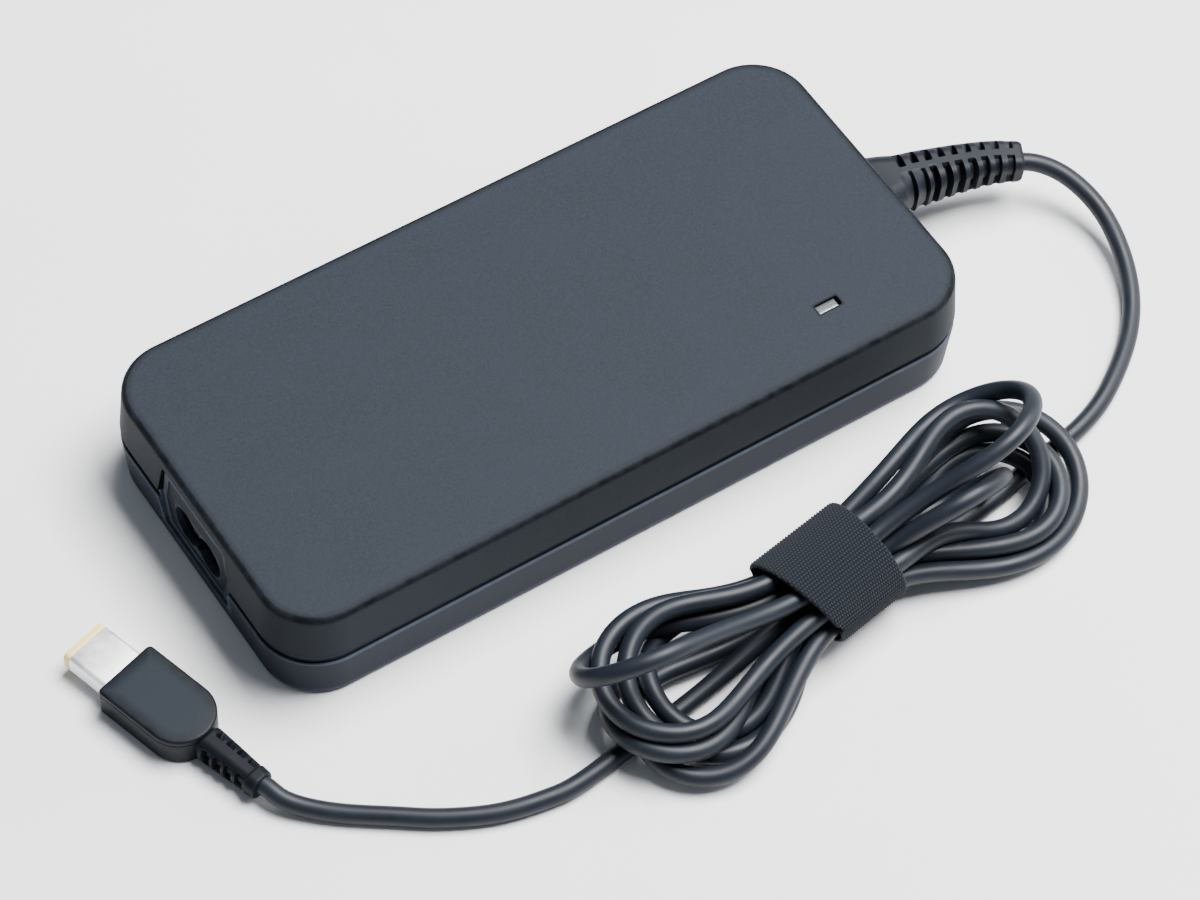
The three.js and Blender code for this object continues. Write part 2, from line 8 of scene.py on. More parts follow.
import bmesh
import bpy
import numpy as np
from mathutils import Matrix, Vector


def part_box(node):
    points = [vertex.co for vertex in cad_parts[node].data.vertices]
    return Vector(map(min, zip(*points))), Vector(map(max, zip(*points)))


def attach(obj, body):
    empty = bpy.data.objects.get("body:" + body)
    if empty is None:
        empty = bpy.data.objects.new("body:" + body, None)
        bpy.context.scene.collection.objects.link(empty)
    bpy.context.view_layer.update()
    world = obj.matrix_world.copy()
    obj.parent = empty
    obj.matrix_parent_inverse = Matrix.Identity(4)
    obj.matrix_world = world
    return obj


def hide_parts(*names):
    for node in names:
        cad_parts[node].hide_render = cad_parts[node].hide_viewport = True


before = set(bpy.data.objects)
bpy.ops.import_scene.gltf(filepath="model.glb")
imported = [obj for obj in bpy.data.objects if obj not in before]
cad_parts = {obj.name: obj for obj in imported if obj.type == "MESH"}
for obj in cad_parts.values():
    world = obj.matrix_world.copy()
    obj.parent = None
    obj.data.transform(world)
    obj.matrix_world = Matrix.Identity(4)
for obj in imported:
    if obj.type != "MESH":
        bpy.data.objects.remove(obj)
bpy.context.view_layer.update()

MM = 0.001
SEED = 7

# ---- driving dimensions ----

CASE_CORNER = 12.2
CORNER_STEPS = 18
SPLIT = {"lower_top": 11, "groove_top": 12.9, "groove_depth": 0.65}
WALL = 2
GAP = 0.3

SOCKET = {"z": 11.2, "lobe_radius": 4, "lobe_spacing": 8.1, "waist": 6.6, "notch": 0.55, "depth": 14}
PIN = {"radius": 1.2, "spacing": 8.6, "setback": 3, "sides": 28}
BEZEL = {
    "top": 21, "shoulder": 12.6, "bottom": 4.9, "top_half": 11, "shoulder_half": 12.5, "bottom_half": 11,
    "frame": 1.5, "sunk": 0.22,
}
INLET_FACE = -74.05

LIGHT = {"x": 47.8, "y": -23, "length": 4.8, "width": 1.9, "short": 0.5, "sunk": 0.35}
LABEL = {"length": 104, "width": 52, "recess": 0.5}

CORD_DIAMETER = 3.6
CORD_RADIUS = CORD_DIAMETER / 2
LIE = CORD_RADIUS + 0.05  # height of the cord's middle where it lies on the surface

# The output boot's middle line, from inside the case's end wall to where the cord leaves it.
BOOT_ROUTE = [
    (69.4, 1.6, 11.4), (78, 1.4, 11.4), (84.5, 0.5, 11.3), (90, -0.6, 11.1), (95, -1.8, 10.9),
    (100.6, -3.5, 10.6), (106, -6, 10.3),
]
# At shares of the boot's length: its half-width, half-height and corner radius. It starts inside the wall.
BOOT_SECTIONS = [
    (0, 7.6, 6.2, 2.6), (0.046, 7.6, 6.2, 2.6), (0.047, 6, 4.6, 1.7), (0.154, 6, 4.6, 1.7),
    (0.155, 6.9, 5.7, 2.8), (0.19, 6.7, 5.65, 3), (0.22, 6.3, 5.5, 3.2), (0.34, 5.2, 5, 3.4),
    (0.46, 4.75, 4.7, 3), (0.6, 4.3, 4.3, 2.6), (0.8, 3.75, 3.75, 2.1), (0.985, 3.3, 3.3, 1.7),
    (1, 3.05, 3.05, 1.6),
]
BOOT = {
    "slots": 9, "scales": 2, "first": 0.345, "last": 0.93, "width": 1.35, "core": 2.6, "back_width": 1.2,
    "back_core": 2.7, "spine": 0.95, "roll": 4,
}

# The cord's middle line where it isn't coiled: from the boot to the hank, and from the hank to the connector.
ARC_ROUTE = [
    (106.3, -6.2, 10.3), (109.2, -8.2, 9.7), (111.8, -11.4, 8.8), (113.7, -15.7, 7.5), (114.6, -21.1, 6),
    (114, -27.2, 4.5), (111.9, -33.9, 3.2), (108.5, -40.2, 2.3), (103.9, -45.7, LIE), (98.4, -50.4, LIE),
    (93, -54.1, LIE), (88.2, -56.8, LIE), (81.6, -59.6, LIE),
]
LEAD_ROUTE = [
    (-35.6, -74.6, LIE), (-43.9, -74.5, LIE), (-54.4, -72.3, LIE), (-63.6, -67.9, LIE), (-70.9, -62.9, LIE),
    (-78.3, -57.6, LIE), (-83.4, -53.1, 2.2), (-86.2, -49.7, 2.9), (-87.1, -47.2, 3.4),
]
LEAD_END = (-89.1, -41.5, 3.3)  # inside the connector's boot

TIE = {"x": 20.6, "y": -65.6, "z": 9.3, "turn": 10, "strap": 18.4, "half": 10, "half_height": 7.7}
TIE_MIDDLE = np.array([TIE["x"], TIE["y"], TIE["z"]])

TIP = {"x": -97.2, "y": -13.6, "heading": 106.2}
PLUG = {"length": 20.6, "width": 13.4, "height": 6.8, "bevel": 0.7, "seam": 1.25, "seam_depth": 0.22}
NOSE = {"length": 10.4, "width": 9.8, "height": 4.5, "wall": 0.35, "inside": 6, "corner": 1.1, "lip": 1.4}
PLUG_BOOT = {
    "length": 13, "start_half": 3.1, "end_half": 2.6, "slots": 4, "first": 3.6, "pitch": 2.55, "width": 1.6,
    "core": 1.95, "spine": 0.9,
}

# ---- camera ----

CAMERA = {
    "azimuth": -35.087, "elevation": 54.703, "roll": 2.699, "lens": 133.63,
    "target": (3.656, -14.688, 0), "distance": 833.5,
}


def add_object(name, data):
    """A new object in the scene."""
    thing = bpy.data.objects.new(name, data)
    bpy.context.scene.collection.objects.link(thing)
    return thing


def make_camera():
    azimuth, elevation, roll = (math.radians(CAMERA[key]) for key in ("azimuth", "elevation", "roll"))
    back = Vector((
        math.sin(azimuth) * math.cos(elevation), -math.cos(azimuth) * math.cos(elevation), math.sin(elevation),
    ))
    level = Vector((0, 0, 1)).cross(back).normalized()
    upright = back.cross(level)
    right = level * math.cos(roll) + upright * math.sin(roll)
    up = upright * math.cos(roll) - level * math.sin(roll)
    data = bpy.data.cameras.new("camera")
    data.lens = CAMERA["lens"]
    data.sensor_width = 36
    data.clip_end = 10
    camera = add_object("camera", data)
    place = Matrix((right, up, back)).transposed().to_4x4()
    place.translation = (Vector(CAMERA["target"]) + back * CAMERA["distance"]) * MM
    camera.matrix_world = place
    bpy.context.scene.camera = camera


make_camera()

# ---- materials ----


class Nodes:
    """A material's node tree, with short calls for the few kinds of node that these materials are made of."""

    def __init__(self, name):
        self.material = bpy.data.materials.new(name)
        self.material.use_nodes = True
        self.tree = self.material.node_tree
        self.shader = self.tree.nodes["Principled BSDF"]
        self.place = self.tree.nodes.new("ShaderNodeTexCoord").outputs["Object"]

    def feed(self, socket, value):
        if isinstance(value, bpy.types.NodeSocket):
            self.tree.links.new(value, socket)
        else:
            socket.default_value = value

    def set(self, **values):
        for key, value in values.items():
            self.shader.inputs[key.replace("_", " ")].default_value = value

    def link(self, output, key):
        self.tree.links.new(output, self.shader.inputs[key])

    def add(self, kind, inputs=None, **settings):
        node = self.tree.nodes.new(kind)
        for key, value in settings.items():
            setattr(node, key, value)
        for key, value in (inputs or {}).items():
            self.feed(node.inputs[key], value)
        return node

    def noise(self, size, detail=2.0, roughness=0.5, place=None):
        """Noise whose blobs are about size millimetres across."""
        inputs = {
            "Vector": place or self.place, "Scale": 1 / (size * MM), "Detail": detail, "Roughness": roughness,
        }
        return self.add("ShaderNodeTexNoise", inputs).outputs["Fac"]

    def remap(self, value, low, high, to_low=0.0, to_high=1.0):
        inputs = {"Value": value, "From Min": low, "From Max": high, "To Min": to_low, "To Max": to_high}
        return self.add("ShaderNodeMapRange", inputs).outputs["Result"]

    def mix(self, factor, low, high):
        node = self.add("ShaderNodeMix", data_type="RGBA")
        for socket, value in (("Factor_Float", factor), ("A_Color", low), ("B_Color", high)):
            self.feed(next(s for s in node.inputs if s.identifier == socket), value)
        return next(s for s in node.outputs if s.identifier == "Result_Color")

    def maths(self, operation, first, second):
        return self.add("ShaderNodeMath", {0: first, 1: second}, operation=operation).outputs[0]

    def attribute(self, name):
        return self.add("ShaderNodeAttribute", attribute_name=name).outputs["Fac"]

    def bump(self, height, distance, strength=1.0):
        node = self.add("ShaderNodeBump", {"Height": height, "Distance": distance * MM, "Strength": strength})
        self.link(node.outputs["Normal"], "Normal")


def shade_of(color, amount):
    return tuple(min(1.0, c * amount) for c in color) + (1.0,)


def plastic(name, color, roughness=0.5, grain=0.35, depth=0.03, mottle=0.08, edge_wear_and_light=1.5, specular=0.5):
    """Moulded plastic: a fine spark-eroded grain, faint mottling, and edges that handling has polished. The
    edges' colour also carries painted edge light: a painted highlight where the edge factor is above 1, a
    painted dark line where it is below 1.
    """
    nodes = Nodes(name)
    nodes.set(Specular_IOR_Level=specular)
    fine = nodes.noise(grain, 3, 0.6)
    broad = nodes.noise(14, 3)
    standing = nodes.remap(nodes.attribute("edge"), 0.1, 0.8)
    worn_and_lit_edge = nodes.maths("MULTIPLY", standing, nodes.remap(nodes.noise(2.5), 0.3, 0.7, 0.6, 1))
    dark, light = shade_of(color, 1 - 1.6 * mottle), shade_of(color, 1 + 1.6 * mottle)
    speckle = nodes.mix(nodes.remap(fine, 0.3, 0.7), dark, light)
    body = nodes.mix(nodes.remap(broad, 0.35, 0.65, 0, 0.35), speckle, shade_of(color, 1 + mottle))
    # Convex edges take the edge factor on their colour: real polish from handling, and also painted edge light,
    # a painted highlight above 1 and a painted dark line below 1.
    edge_worn_and_lit = nodes.mix(worn_and_lit_edge, body, shade_of(color, edge_wear_and_light))
    # Painted shade: the colour darkens towards a quarter of itself in creases and hollows, where the edge mark
    # is negative.
    crease_shade = nodes.remap(nodes.attribute("edge"), -0.1, -0.7, 0, 0.75)
    nodes.link(nodes.mix(crease_shade, edge_worn_and_lit, shade_of(color, 0.25)), "Base Color")
    grain_rough = nodes.remap(fine, 0.3, 0.7, roughness - 0.05, roughness + 0.06)
    nodes.link(nodes.maths("SUBTRACT", grain_rough, nodes.maths("MULTIPLY", worn_and_lit_edge, 0.1)), "Roughness")
    nodes.bump(fine, depth)
    return nodes.material


def rubber(name, color, roughness=0.55, grain=0.25, depth=0.012, specular=0.5):
    """A smooth soft jacket: a satin skin with faint flow marks and the odd scuff."""
    nodes = Nodes(name)
    nodes.set(Specular_IOR_Level=specular)
    flow = nodes.noise(6, 4, 0.55)
    fine = nodes.noise(grain, 2)
    scuff = nodes.remap(nodes.noise(3.1, 6, 0.7), 0.6, 0.75)
    body = nodes.mix(nodes.remap(flow, 0.3, 0.7), shade_of(color, 0.88), shade_of(color, 1.12))
    edge = nodes.remap(nodes.attribute("edge"), 0.2, 0.9, 0, 0.6)
    pale = nodes.maths("MAXIMUM", edge, nodes.maths("MULTIPLY", scuff, 0.25))
    nodes.link(nodes.mix(pale, body, shade_of(color, 1.7)), "Base Color")
    dull = nodes.maths("ADD", flow, nodes.maths("MULTIPLY", scuff, 0.3))
    nodes.link(nodes.remap(dull, 0.3, 0.9, roughness - 0.06, roughness + 0.1), "Roughness")
    nodes.bump(fine, depth)
    return nodes.material


def metal(name, color, roughness=0.25, streak=(40, 40, 1.2), depth=0.004):
    """Plated or rolled metal, with fine lines along one axis and patches of dulling."""
    nodes = Nodes(name)
    nodes.set(Metallic=1.0)
    stretched = nodes.add("ShaderNodeMapping", {"Vector": nodes.place, "Scale": streak}).outputs["Vector"]
    lines = nodes.noise(6, 4, 0.6, stretched)
    patches = nodes.noise(4, 4)
    body = nodes.mix(nodes.remap(patches, 0.35, 0.7), shade_of(color, 0.9), shade_of(color, 1.0))
    nodes.link(body, "Base Color")
    dull = nodes.maths("ADD", lines, patches)
    nodes.link(nodes.remap(dull, 0.7, 1.3, roughness * 0.75, roughness * 1.4), "Roughness")
    nodes.bump(lines, depth)
    return nodes.material


def woven(name, color):
    """The strap's fibres: dark yarn with a soft fuzz, with painted light where the loops stand up and painted
    shade between them.
    """
    nodes = Nodes(name)
    nodes.set(Roughness=0.9, Specular_IOR_Level=0.2, Sheen_Weight=0.05, Sheen_Roughness=0.5)
    raised = nodes.attribute("raised")
    fibre = nodes.noise(0.12, 4, 0.7)
    knit_light_and_fibre = nodes.maths("ADD", nodes.maths("MULTIPLY", raised, 0.8), nodes.maths("MULTIPLY", fibre, 0.4))
    # Painted light and shade of the knit: the yarn's colour runs from very dark to two and a half times its
    # tone with the loops' height, with a real fibre-to-fibre variation mixed in.
    yarn_lit_and_shaded = nodes.mix(nodes.remap(knit_light_and_fibre, 0.3, 0.9), shade_of(color, 0.08), shade_of(color, 2.5))
    nodes.link(yarn_lit_and_shaded, "Base Color")
    nodes.bump(fibre, 0.05, 0.8)
    return nodes.material


def clear_grey(name, color):
    """The light pipe: milky plastic with a moulded texture underneath."""
    nodes = Nodes(name)
    nodes.set(Specular_IOR_Level=0.6, Coat_Weight=0.4, Coat_Roughness=0.12)
    inputs = {"Vector": nodes.place, "Scale": 1 / (0.55 * MM)}
    cells = nodes.add("ShaderNodeTexVoronoi", inputs).outputs["Distance"]
    body = nodes.mix(nodes.remap(cells, 0.1, 0.7), shade_of(color, 1.25), shade_of(color, 0.75))
    nodes.link(body, "Base Color")
    nodes.link(nodes.remap(cells, 0, 0.8, 0.2, 0.45), "Roughness")
    nodes.bump(cells, 0.03, 0.6)
    return nodes.material


def laminate(name, color, pitch=1.6):
    """A board or film with a faint cross-woven texture."""
    nodes = Nodes(name)
    inputs = {"Vector": nodes.place, "Scale": 0.31 / (pitch * MM), "Distortion": 1.0}
    waves = [
        nodes.add("ShaderNodeTexWave", inputs, bands_direction=axis).outputs["Fac"] for axis in ("X", "Y")
    ]
    cloth = nodes.maths("MULTIPLY", waves[0], waves[1])
    blotch = nodes.noise(9, 3)
    uneven = nodes.remap(nodes.maths("ADD", cloth, blotch), 0.3, 1.2)
    nodes.link(nodes.mix(uneven, shade_of(color, 0.75), shade_of(color, 1.2)), "Base Color")
    nodes.link(nodes.remap(blotch, 0.3, 0.7, 0.4, 0.6), "Roughness")
    nodes.bump(cloth, 0.02, 0.5)
    return nodes.material


CASE_COLOR = (0.0178, 0.0214, 0.0272)
LOWER_COLOR = (0.0205, 0.0246, 0.034)

# Each slot's maker and what it takes: colour and roughness, and then the grain's size and depth. After those,
# plastic takes its mottling, its edges' factor for wear and painted edge light (above 1 a painted highlight,
# below 1 a painted dark line) and its specular level; rubber takes its specular level.
FINISHES = {
    # The lid's edge factor of 0.2 paints its convex edges dark, chiefly a dark line along its top fillet:
    # painted shade, not wear.
    "upper_case": (plastic, CASE_COLOR, 0.55, 0.45, 0.035, 0.10, 0.2, 0.04),
    # The lower shell's edge factor of 3.2 paints its convex edges much lighter, chiefly a bright line along its
    # top edge at the groove: a painted highlight.
    "lower_case": (plastic, LOWER_COLOR, 0.5, 0.4, 0.02, 0.06, 3.2, 0.04),
    # The inlet's edge factor of 3.4 paints a light line along the bezel's edges: a painted highlight.
    "inlet_plastic": (plastic, (0.0098, 0.0132, 0.019), 0.48, 0.3, 0.012, 0.05, 3.4, 0.05),
    "pin_metal": (metal, (0.78, 0.77, 0.74), 0.22),
    "lens": (clear_grey, (0.04, 0.048, 0.056)),
    "led": (plastic, (0.7, 0.69, 0.62), 0.35, 0.2, 0.005, 0.04),
    "label": (plastic, (0.02, 0.022, 0.025), 0.42, 0.15, 0.004, 0.05),
    "boot_rubber": (rubber, (0.0052, 0.007, 0.0108), 0.5, 0.25, 0.012, 0.15),
    "cord_jacket": (rubber, (0.0072, 0.0098, 0.015), 0.47, 0.3, 0.006, 0.24),
    "tie_fabric": (woven, (0.0053, 0.0076, 0.0122)),
    # The plug's edge factor of 0.3 paints a dark line round its convex edges: painted shade.
    "connector_plastic": (plastic, (0.0122, 0.0156, 0.0208), 0.5, 0.3, 0.02, 0.08, 0.3, 0.1),
    "connector_metal": (metal, (0.96, 0.96, 0.97), 0.55),
    "insulator": (plastic, (0.72, 0.61, 0.2), 0.4, 0.3, 0.004, 0.04, 1.1, 0.3),
    "board": (laminate, (0.02, 0.09, 0.035)),
    "epoxy": (plastic, (0.012, 0.012, 0.014), 0.5, 0.25, 0.02, 0.1),
    "film_capacitor": (plastic, (0.62, 0.5, 0.06), 0.4, 0.3, 0.01),
    "ferrite": (plastic, (0.022, 0.022, 0.024), 0.7, 0.3, 0.05, 0.2),
    "copper": (metal, (0.72, 0.3, 0.13), 0.3),
    "tape": (laminate, (0.65, 0.45, 0.06), 0.8),
    "aluminium": (metal, (0.66, 0.67, 0.68), 0.38, (1.2, 40, 40), 0.01),
    "can": (rubber, (0.016, 0.02, 0.032), 0.35, 0.2, 0.004),
    "disc": (rubber, (0.02, 0.1, 0.36), 0.35),
    "insulating_film": (laminate, (0.6, 0.55, 0.4), 2.4),
    "wire_red": (rubber, (0.3, 0.014, 0.011), 0.45),
    "wire_black": (rubber, (0.008, 0.008, 0.009), 0.45),
    "wire_white": (rubber, (0.7, 0.69, 0.65), 0.45),
}
MATERIALS = {name: make(name, *rest) for name, (make, *rest) in FINISHES.items()}
DARK_RUBBER = rubber("dark_rubber", (0.0036, 0.0048, 0.007), 0.5, specular=0.08)
SOCKET_BLACK = plastic("socket_black", (0.004, 0.005, 0.006), 0.5, 0.3, 0.01, 0.05, 1.2, 0.3)

# ---- mesh helpers ----


def link_piece(name, data, slot, material=None):
    """Links a piece of a record slot, which wears the slot's own material unless another is given."""
    piece = add_object(name, data)
    data.materials.append(material or MATERIALS[slot])
    return piece


def raw_mesh(name, points, faces):
    mesh = bpy.data.meshes.new(name)
    mesh.from_pydata((np.asarray(points, float) * MM).tolist(), [], faces)
    mesh.validate()
    bm = bmesh.new()
    bm.from_mesh(mesh)
    bmesh.ops.remove_doubles(bm, verts=bm.verts, dist=0.0005 * MM)
    bmesh.ops.recalc_face_normals(bm, faces=bm.faces)
    bm.to_mesh(mesh)
    bm.free()
    return mesh


def make_piece(name, skin, slot, material=None):
    return link_piece(name, raw_mesh(name, *skin), slot, material)


def settle(piece):
    """Applies the piece's modifiers."""
    graph = bpy.context.evaluated_depsgraph_get()
    shaped = piece.evaluated_get(graph)
    mesh = bpy.data.meshes.new_from_object(shaped, preserve_all_data_layers=True, depsgraph=graph)
    piece.modifiers.clear()
    piece.data = mesh


def carve(piece, *tools, operation="DIFFERENCE", guard=0):
    """Cuts closed (points, faces) shapes out of the piece, or joins them to it. Where guard is given, the
    piece's faces are also split that far outside each cut, so that the wear and the painted edge light and
    shade marked on an edge stay near it."""
    for points, faces in tools:
        tool = add_object("tool", raw_mesh("tool", points, faces))
        change = piece.modifiers.new("carve", "BOOLEAN")
        change.object = tool
        change.operation = operation
        change.solver = "EXACT"
        settle(piece)
        bpy.data.objects.remove(tool)
    if guard:
        for points, _ in tools:
            split_round(piece, points.min(axis=0) - guard, points.max(axis=0) + guard)


def split_round(piece, low, high):
    """Splits the piece's faces along the six planes of a box."""
    bm = bmesh.new()
    bm.from_mesh(piece.data)
    for axis in range(3):
        normal = [float(axis == k) for k in range(3)]
        for corner in (low, high):
            bmesh.ops.bisect_plane(
                bm, geom=bm.verts[:] + bm.edges[:] + bm.faces[:], dist=0.001 * MM,
                plane_co=tuple(corner * MM), plane_no=normal,
            )
    bm.to_mesh(piece.data)
    bm.free()


def bevel_edges(piece, width):
    change = piece.modifiers.new("bevel", "BEVEL")
    change.width = width * MM
    change.segments = 2
    change.limit_method = "ANGLE"
    change.angle_limit = math.radians(40)
    settle(piece)


SOFT_TURN = math.radians(7)  # faces that meet more gently than this are one curved surface, not an edge


def smooth(piece, angle):
    """Shades the piece smoothly between its real edges, and marks how sharply each point stands out."""
    mesh = piece.data
    bm = bmesh.new()
    bm.from_mesh(mesh)
    bm.normal_update()
    layer = bm.verts.layers.float.new("edge")
    for vertex in bm.verts:
        bend = 0.0
        for edge in vertex.link_edges:
            if len(edge.link_faces) != 2:
                continue
            across = [face.calc_center_median() - edge.verts[0].co for face in edge.link_faces]
            along = (edge.verts[1].co - edge.verts[0].co).normalized()
            reach = min((way - along * way.dot(along)).length for way in across)
            turn = edge.calc_face_angle_signed(0.0)
            if abs(turn) > SOFT_TURN:
                bend = max(bend, turn / max(reach / MM, 0.12), key=abs)
        vertex[layer] = max(-1.0, min(1.0, bend / 2.2))
    bm.to_mesh(mesh)
    bm.free()
    mesh.shade_smooth()
    mesh.set_sharp_from_angle(angle=math.radians(angle))


def finish_piece(piece, *stands_for):
    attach(piece, "root")
    if stands_for:
        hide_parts(*stands_for)
    return piece


def finish_solid(piece, *stands_for, angle=32):
    smooth(piece, angle)
    return finish_piece(piece, *stands_for)


def loft(rings, closed=False):
    """Points and faces of a skin through rings of points, capped at both ends unless it closes on itself."""
    count = len(rings[0])
    faces = []
    last = len(rings) if closed else len(rings) - 1
    for ring in range(last):
        low = ring * count
        high = (ring + 1) % len(rings) * count
        for k in range(count):
            after = (k + 1) % count
            faces.append((low + k, low + after, high + after, high + k))
    if not closed:
        faces.append(tuple(reversed(range(count))))
        faces.append(tuple((len(rings) - 1) * count + k for k in range(count)))
    return np.concatenate(rings), faces


def rounded_rectangle(half_x, half_y, radius, steps):
    """A rectangle with round corners, counter-clockwise from its right side."""
    points = []
    for quarter in range(4):
        right = 1 if quarter in (0, 3) else -1
        back = 1 if quarter < 2 else -1
        for step in range(steps + 1):
            angle = (quarter + step / steps) * math.pi / 2
            points.append((
                right * (half_x - radius) + radius * math.cos(angle),
                back * (half_y - radius) + radius * math.sin(angle),
            ))
    return np.array(points)


def round_corners(corners, radii, steps=5, closed=False):
    """A line through the corners, with each corner turned into an arc of its radius."""
    corners = [np.array(c, float) for c in corners]
    out = []
    for k, (corner, radius) in enumerate(zip(corners, radii)):
        if radius == 0 or (not closed and k in (0, len(corners) - 1)):
            out.append(corner)
            continue
        back = corners[k - 1] - corner
        ahead = corners[(k + 1) % len(corners)] - corner
        back /= np.linalg.norm(back)
        ahead /= np.linalg.norm(ahead)
        half = math.acos(np.clip(back @ ahead, -1, 1)) / 2
        middle = corner + (back + ahead) / np.linalg.norm(back + ahead) * radius / math.sin(half)
        start = corner + back * radius / math.tan(half) - middle
        end = corner + ahead * radius / math.tan(half) - middle
        sweep = math.pi - 2 * half
        for step in range(steps + 1):
            share = step / steps
            arc = (start * math.sin((1 - share) * sweep) + end * math.sin(share * sweep)) / math.sin(sweep)
            out.append(middle + arc)
    return np.array(out)


def prism(outline, start, end, axis="x"):
    """Points and faces of an outline swept between two places along an axis."""
    outline = np.asarray(outline, float)
    rings = []
    for place in (start, end):
        level = np.full(len(outline), float(place))
        columns = {"x": (level, outline[:, 0], outline[:, 1]), "y": (outline[:, 0], level, outline[:, 1]),
                   "z": (outline[:, 0], outline[:, 1], level)}[axis]
        rings.append(np.stack(columns, 1))
    return loft(rings)


def level_ring(outline, z):
    return np.column_stack([outline, np.full(len(outline), float(z))])


def spline(points, per_span=8):
    """A smooth (Catmull-Rom) curve through points, as a dense line."""
    points = np.asarray(points, float)
    padded = np.concatenate([[2 * points[0] - points[1]], points, [2 * points[-1] - points[-2]]])
    out = []
    for k in range(1, len(padded) - 2):
        before, start, end, after = padded[k - 1:k + 3]
        for step in range(per_span):
            t = step / per_span
            square = (2 * before - 5 * start + 4 * end - after) * t ** 2
            cube = (3 * start - before - 3 * end + after) * t ** 3
            out.append(0.5 * (2 * start + (end - before) * t + square + cube))
    out.append(points[-1])
    return np.array(out)


def run_along(line):
    """How far along a line each of its points is."""
    return np.concatenate([[0], np.cumsum(np.linalg.norm(np.diff(line, axis=0), axis=1))])


def points_at(places, run, line):
    return np.stack([np.interp(places, run, column) for column in line.T], 1)


def spaced(line, step):
    """The line again, with its points evenly spaced."""
    run = run_along(line)
    places = np.linspace(0, run[-1], max(3, round(run[-1] / step) + 1))
    return points_at(places, run, line)


def line_frames(line):
    """At each point of a line: the way along it, the level way to its left, and the way up from it."""
    along = np.gradient(line, axis=0)
    along /= np.linalg.norm(along, axis=1)[:, None]
    left = np.cross([0, 0, 1], along)
    left /= np.linalg.norm(left, axis=1)[:, None]
    return along, left, np.cross(along, left)


# ---- cord and hank ----

TIE_TURN = math.radians(TIE["turn"])
AXIAL = np.array([math.cos(TIE_TURN), math.sin(TIE_TURN), 0])
SIDEWAYS = np.array([-math.sin(TIE_TURN), math.cos(TIE_TURN), 0])
UPWARD = np.array([0, 0, 1.0])

# Where the cord comes in from the arc and goes out to the connector: x and y from the tie's middle, z from the
# floor.
WAY_IN = [(56, 4.3, LIE), (50, 2.8, LIE), (42, 1.4, LIE), (32, 0.5, 2.2)]
WAY_OUT = [(-19, -4.6, 3.4), (-30, -5.8, LIE), (-42, -6.3, LIE)]

# Thirteen passes through the tie lie in four rows: each row's height from the tie's middle, and where its
# passes are from side to side.
ROWS = [
    (-5.3, (-1.9, 1.9)), (-2.2, (-7.3, -3.7, 0, 3.7, 7.3)),
    (0.9, (-5.55, -1.85, 1.85, 5.55)), (4, (-3.7, 0, 3.7)),
]
SLOTS = [(place, height) for height, places in ROWS for place in places]
PASS_ORDER = [1, 2, 10, 7, 13, 3, 5, 0, 9, 11, 6, 8, 4]

# One fold of the hank each: how far its end is from the tie's middle in x and in y, how high its end is, and
# how far its first leg stands from its middle line, in y and up.
FOLDS = [
    (-47, -12.5, 2, 10.5, 0.5), (56.8, 3, 4.5, -11.3, -3.8), (-51.5, -2.5, 6.5, 9.2, 1.5),
    (50.5, 4, 9, -6.5, -3), (-48.5, -6, 4.5, 9.8, 4.5), (52.6, 2, 5, -8, -1),
    (-51, -8, 2.5, 9.5, 1), (50.5, 1.5, 2, -7, 0), (-56, 3, 15, 2.5, -5),
    (50, 7, 23, -4, 6), (-41, -6, 5, 9, 3.5), (41, 1.5, 9.5, -2.5, 5),
]
FOLD_POINTS = 24
# How the hank settles. The last four are the share of each fault that is mended in a round.
RELAX = {
    "step": 3.0, "rounds": 1000, "bend_radius": 13, "spans": (2, 4, 6), "spread": 1.05, "mouth": 8.5,
    "half_inside": (9.7, 7.4), "near_tie": 16, "look": 8, "look_every": 25, "hold_until": 0.8,
    "unbend": 0.25, "part": 1.2, "even": 0.25, "hold": 0.01,
}


def pass_point(slot, end):
    """The middle of one pass at an end of the tie, or at its middle."""
    place, height = SLOTS[slot]
    return TIE_MIDDLE + AXIAL * end * RELAX["mouth"] + SIDEWAYS * place + UPWARD * height


def fold_points(first, second, fold):
    """A teardrop from one pass out to the fold's end and back to the next pass."""
    reach, across, height, lean, lift = fold
    end = 1 if reach > 0 else -1
    start, finish = pass_point(first, end), pass_point(second, end)
    tip = np.array([TIE["x"] + reach, TIE["y"] + across, height])
    points = []
    for k in range(1, FOLD_POINTS):
        turn = 2 * math.pi * k / FOLD_POINTS
        out = (1 - math.cos(turn)) / 2
        root = start + (finish - start) * k / FOLD_POINTS
        belly = math.sin(turn) * math.sin(turn / 2) ** 2 / 0.65
        points.append(root + (tip - root) * out + np.array([0, lean, lift]) * belly)
    return points


def planned_route():
    """The whole cord's middle line as laid out, before it settles, from inside the boot."""
    middle = TIE_MIDDLE * (1, 1, 0)
    boot_end, before_end = np.array(BOOT_ROUTE[-1]), np.array(BOOT_ROUTE[-2])
    inside_boot = boot_end * 1.6 - before_end * 0.6 - np.array([4, -1.8, -0.2])
    points = [inside_boot] + [np.array(p) for p in ARC_ROUTE] + [middle + p for p in WAY_IN]
    end = 1
    for k, slot in enumerate(PASS_ORDER):
        points += [pass_point(slot, end), pass_point(slot, 0), pass_point(slot, -end)]
        if k < len(FOLDS):
            points += fold_points(slot, PASS_ORDER[k + 1], FOLDS[k])
        end = -end
    points += [middle + p for p in WAY_OUT] + [np.array(p) for p in LEAD_ROUTE] + [np.array(LEAD_END)]
    return spaced(spline(points, 4), RELAX["step"])


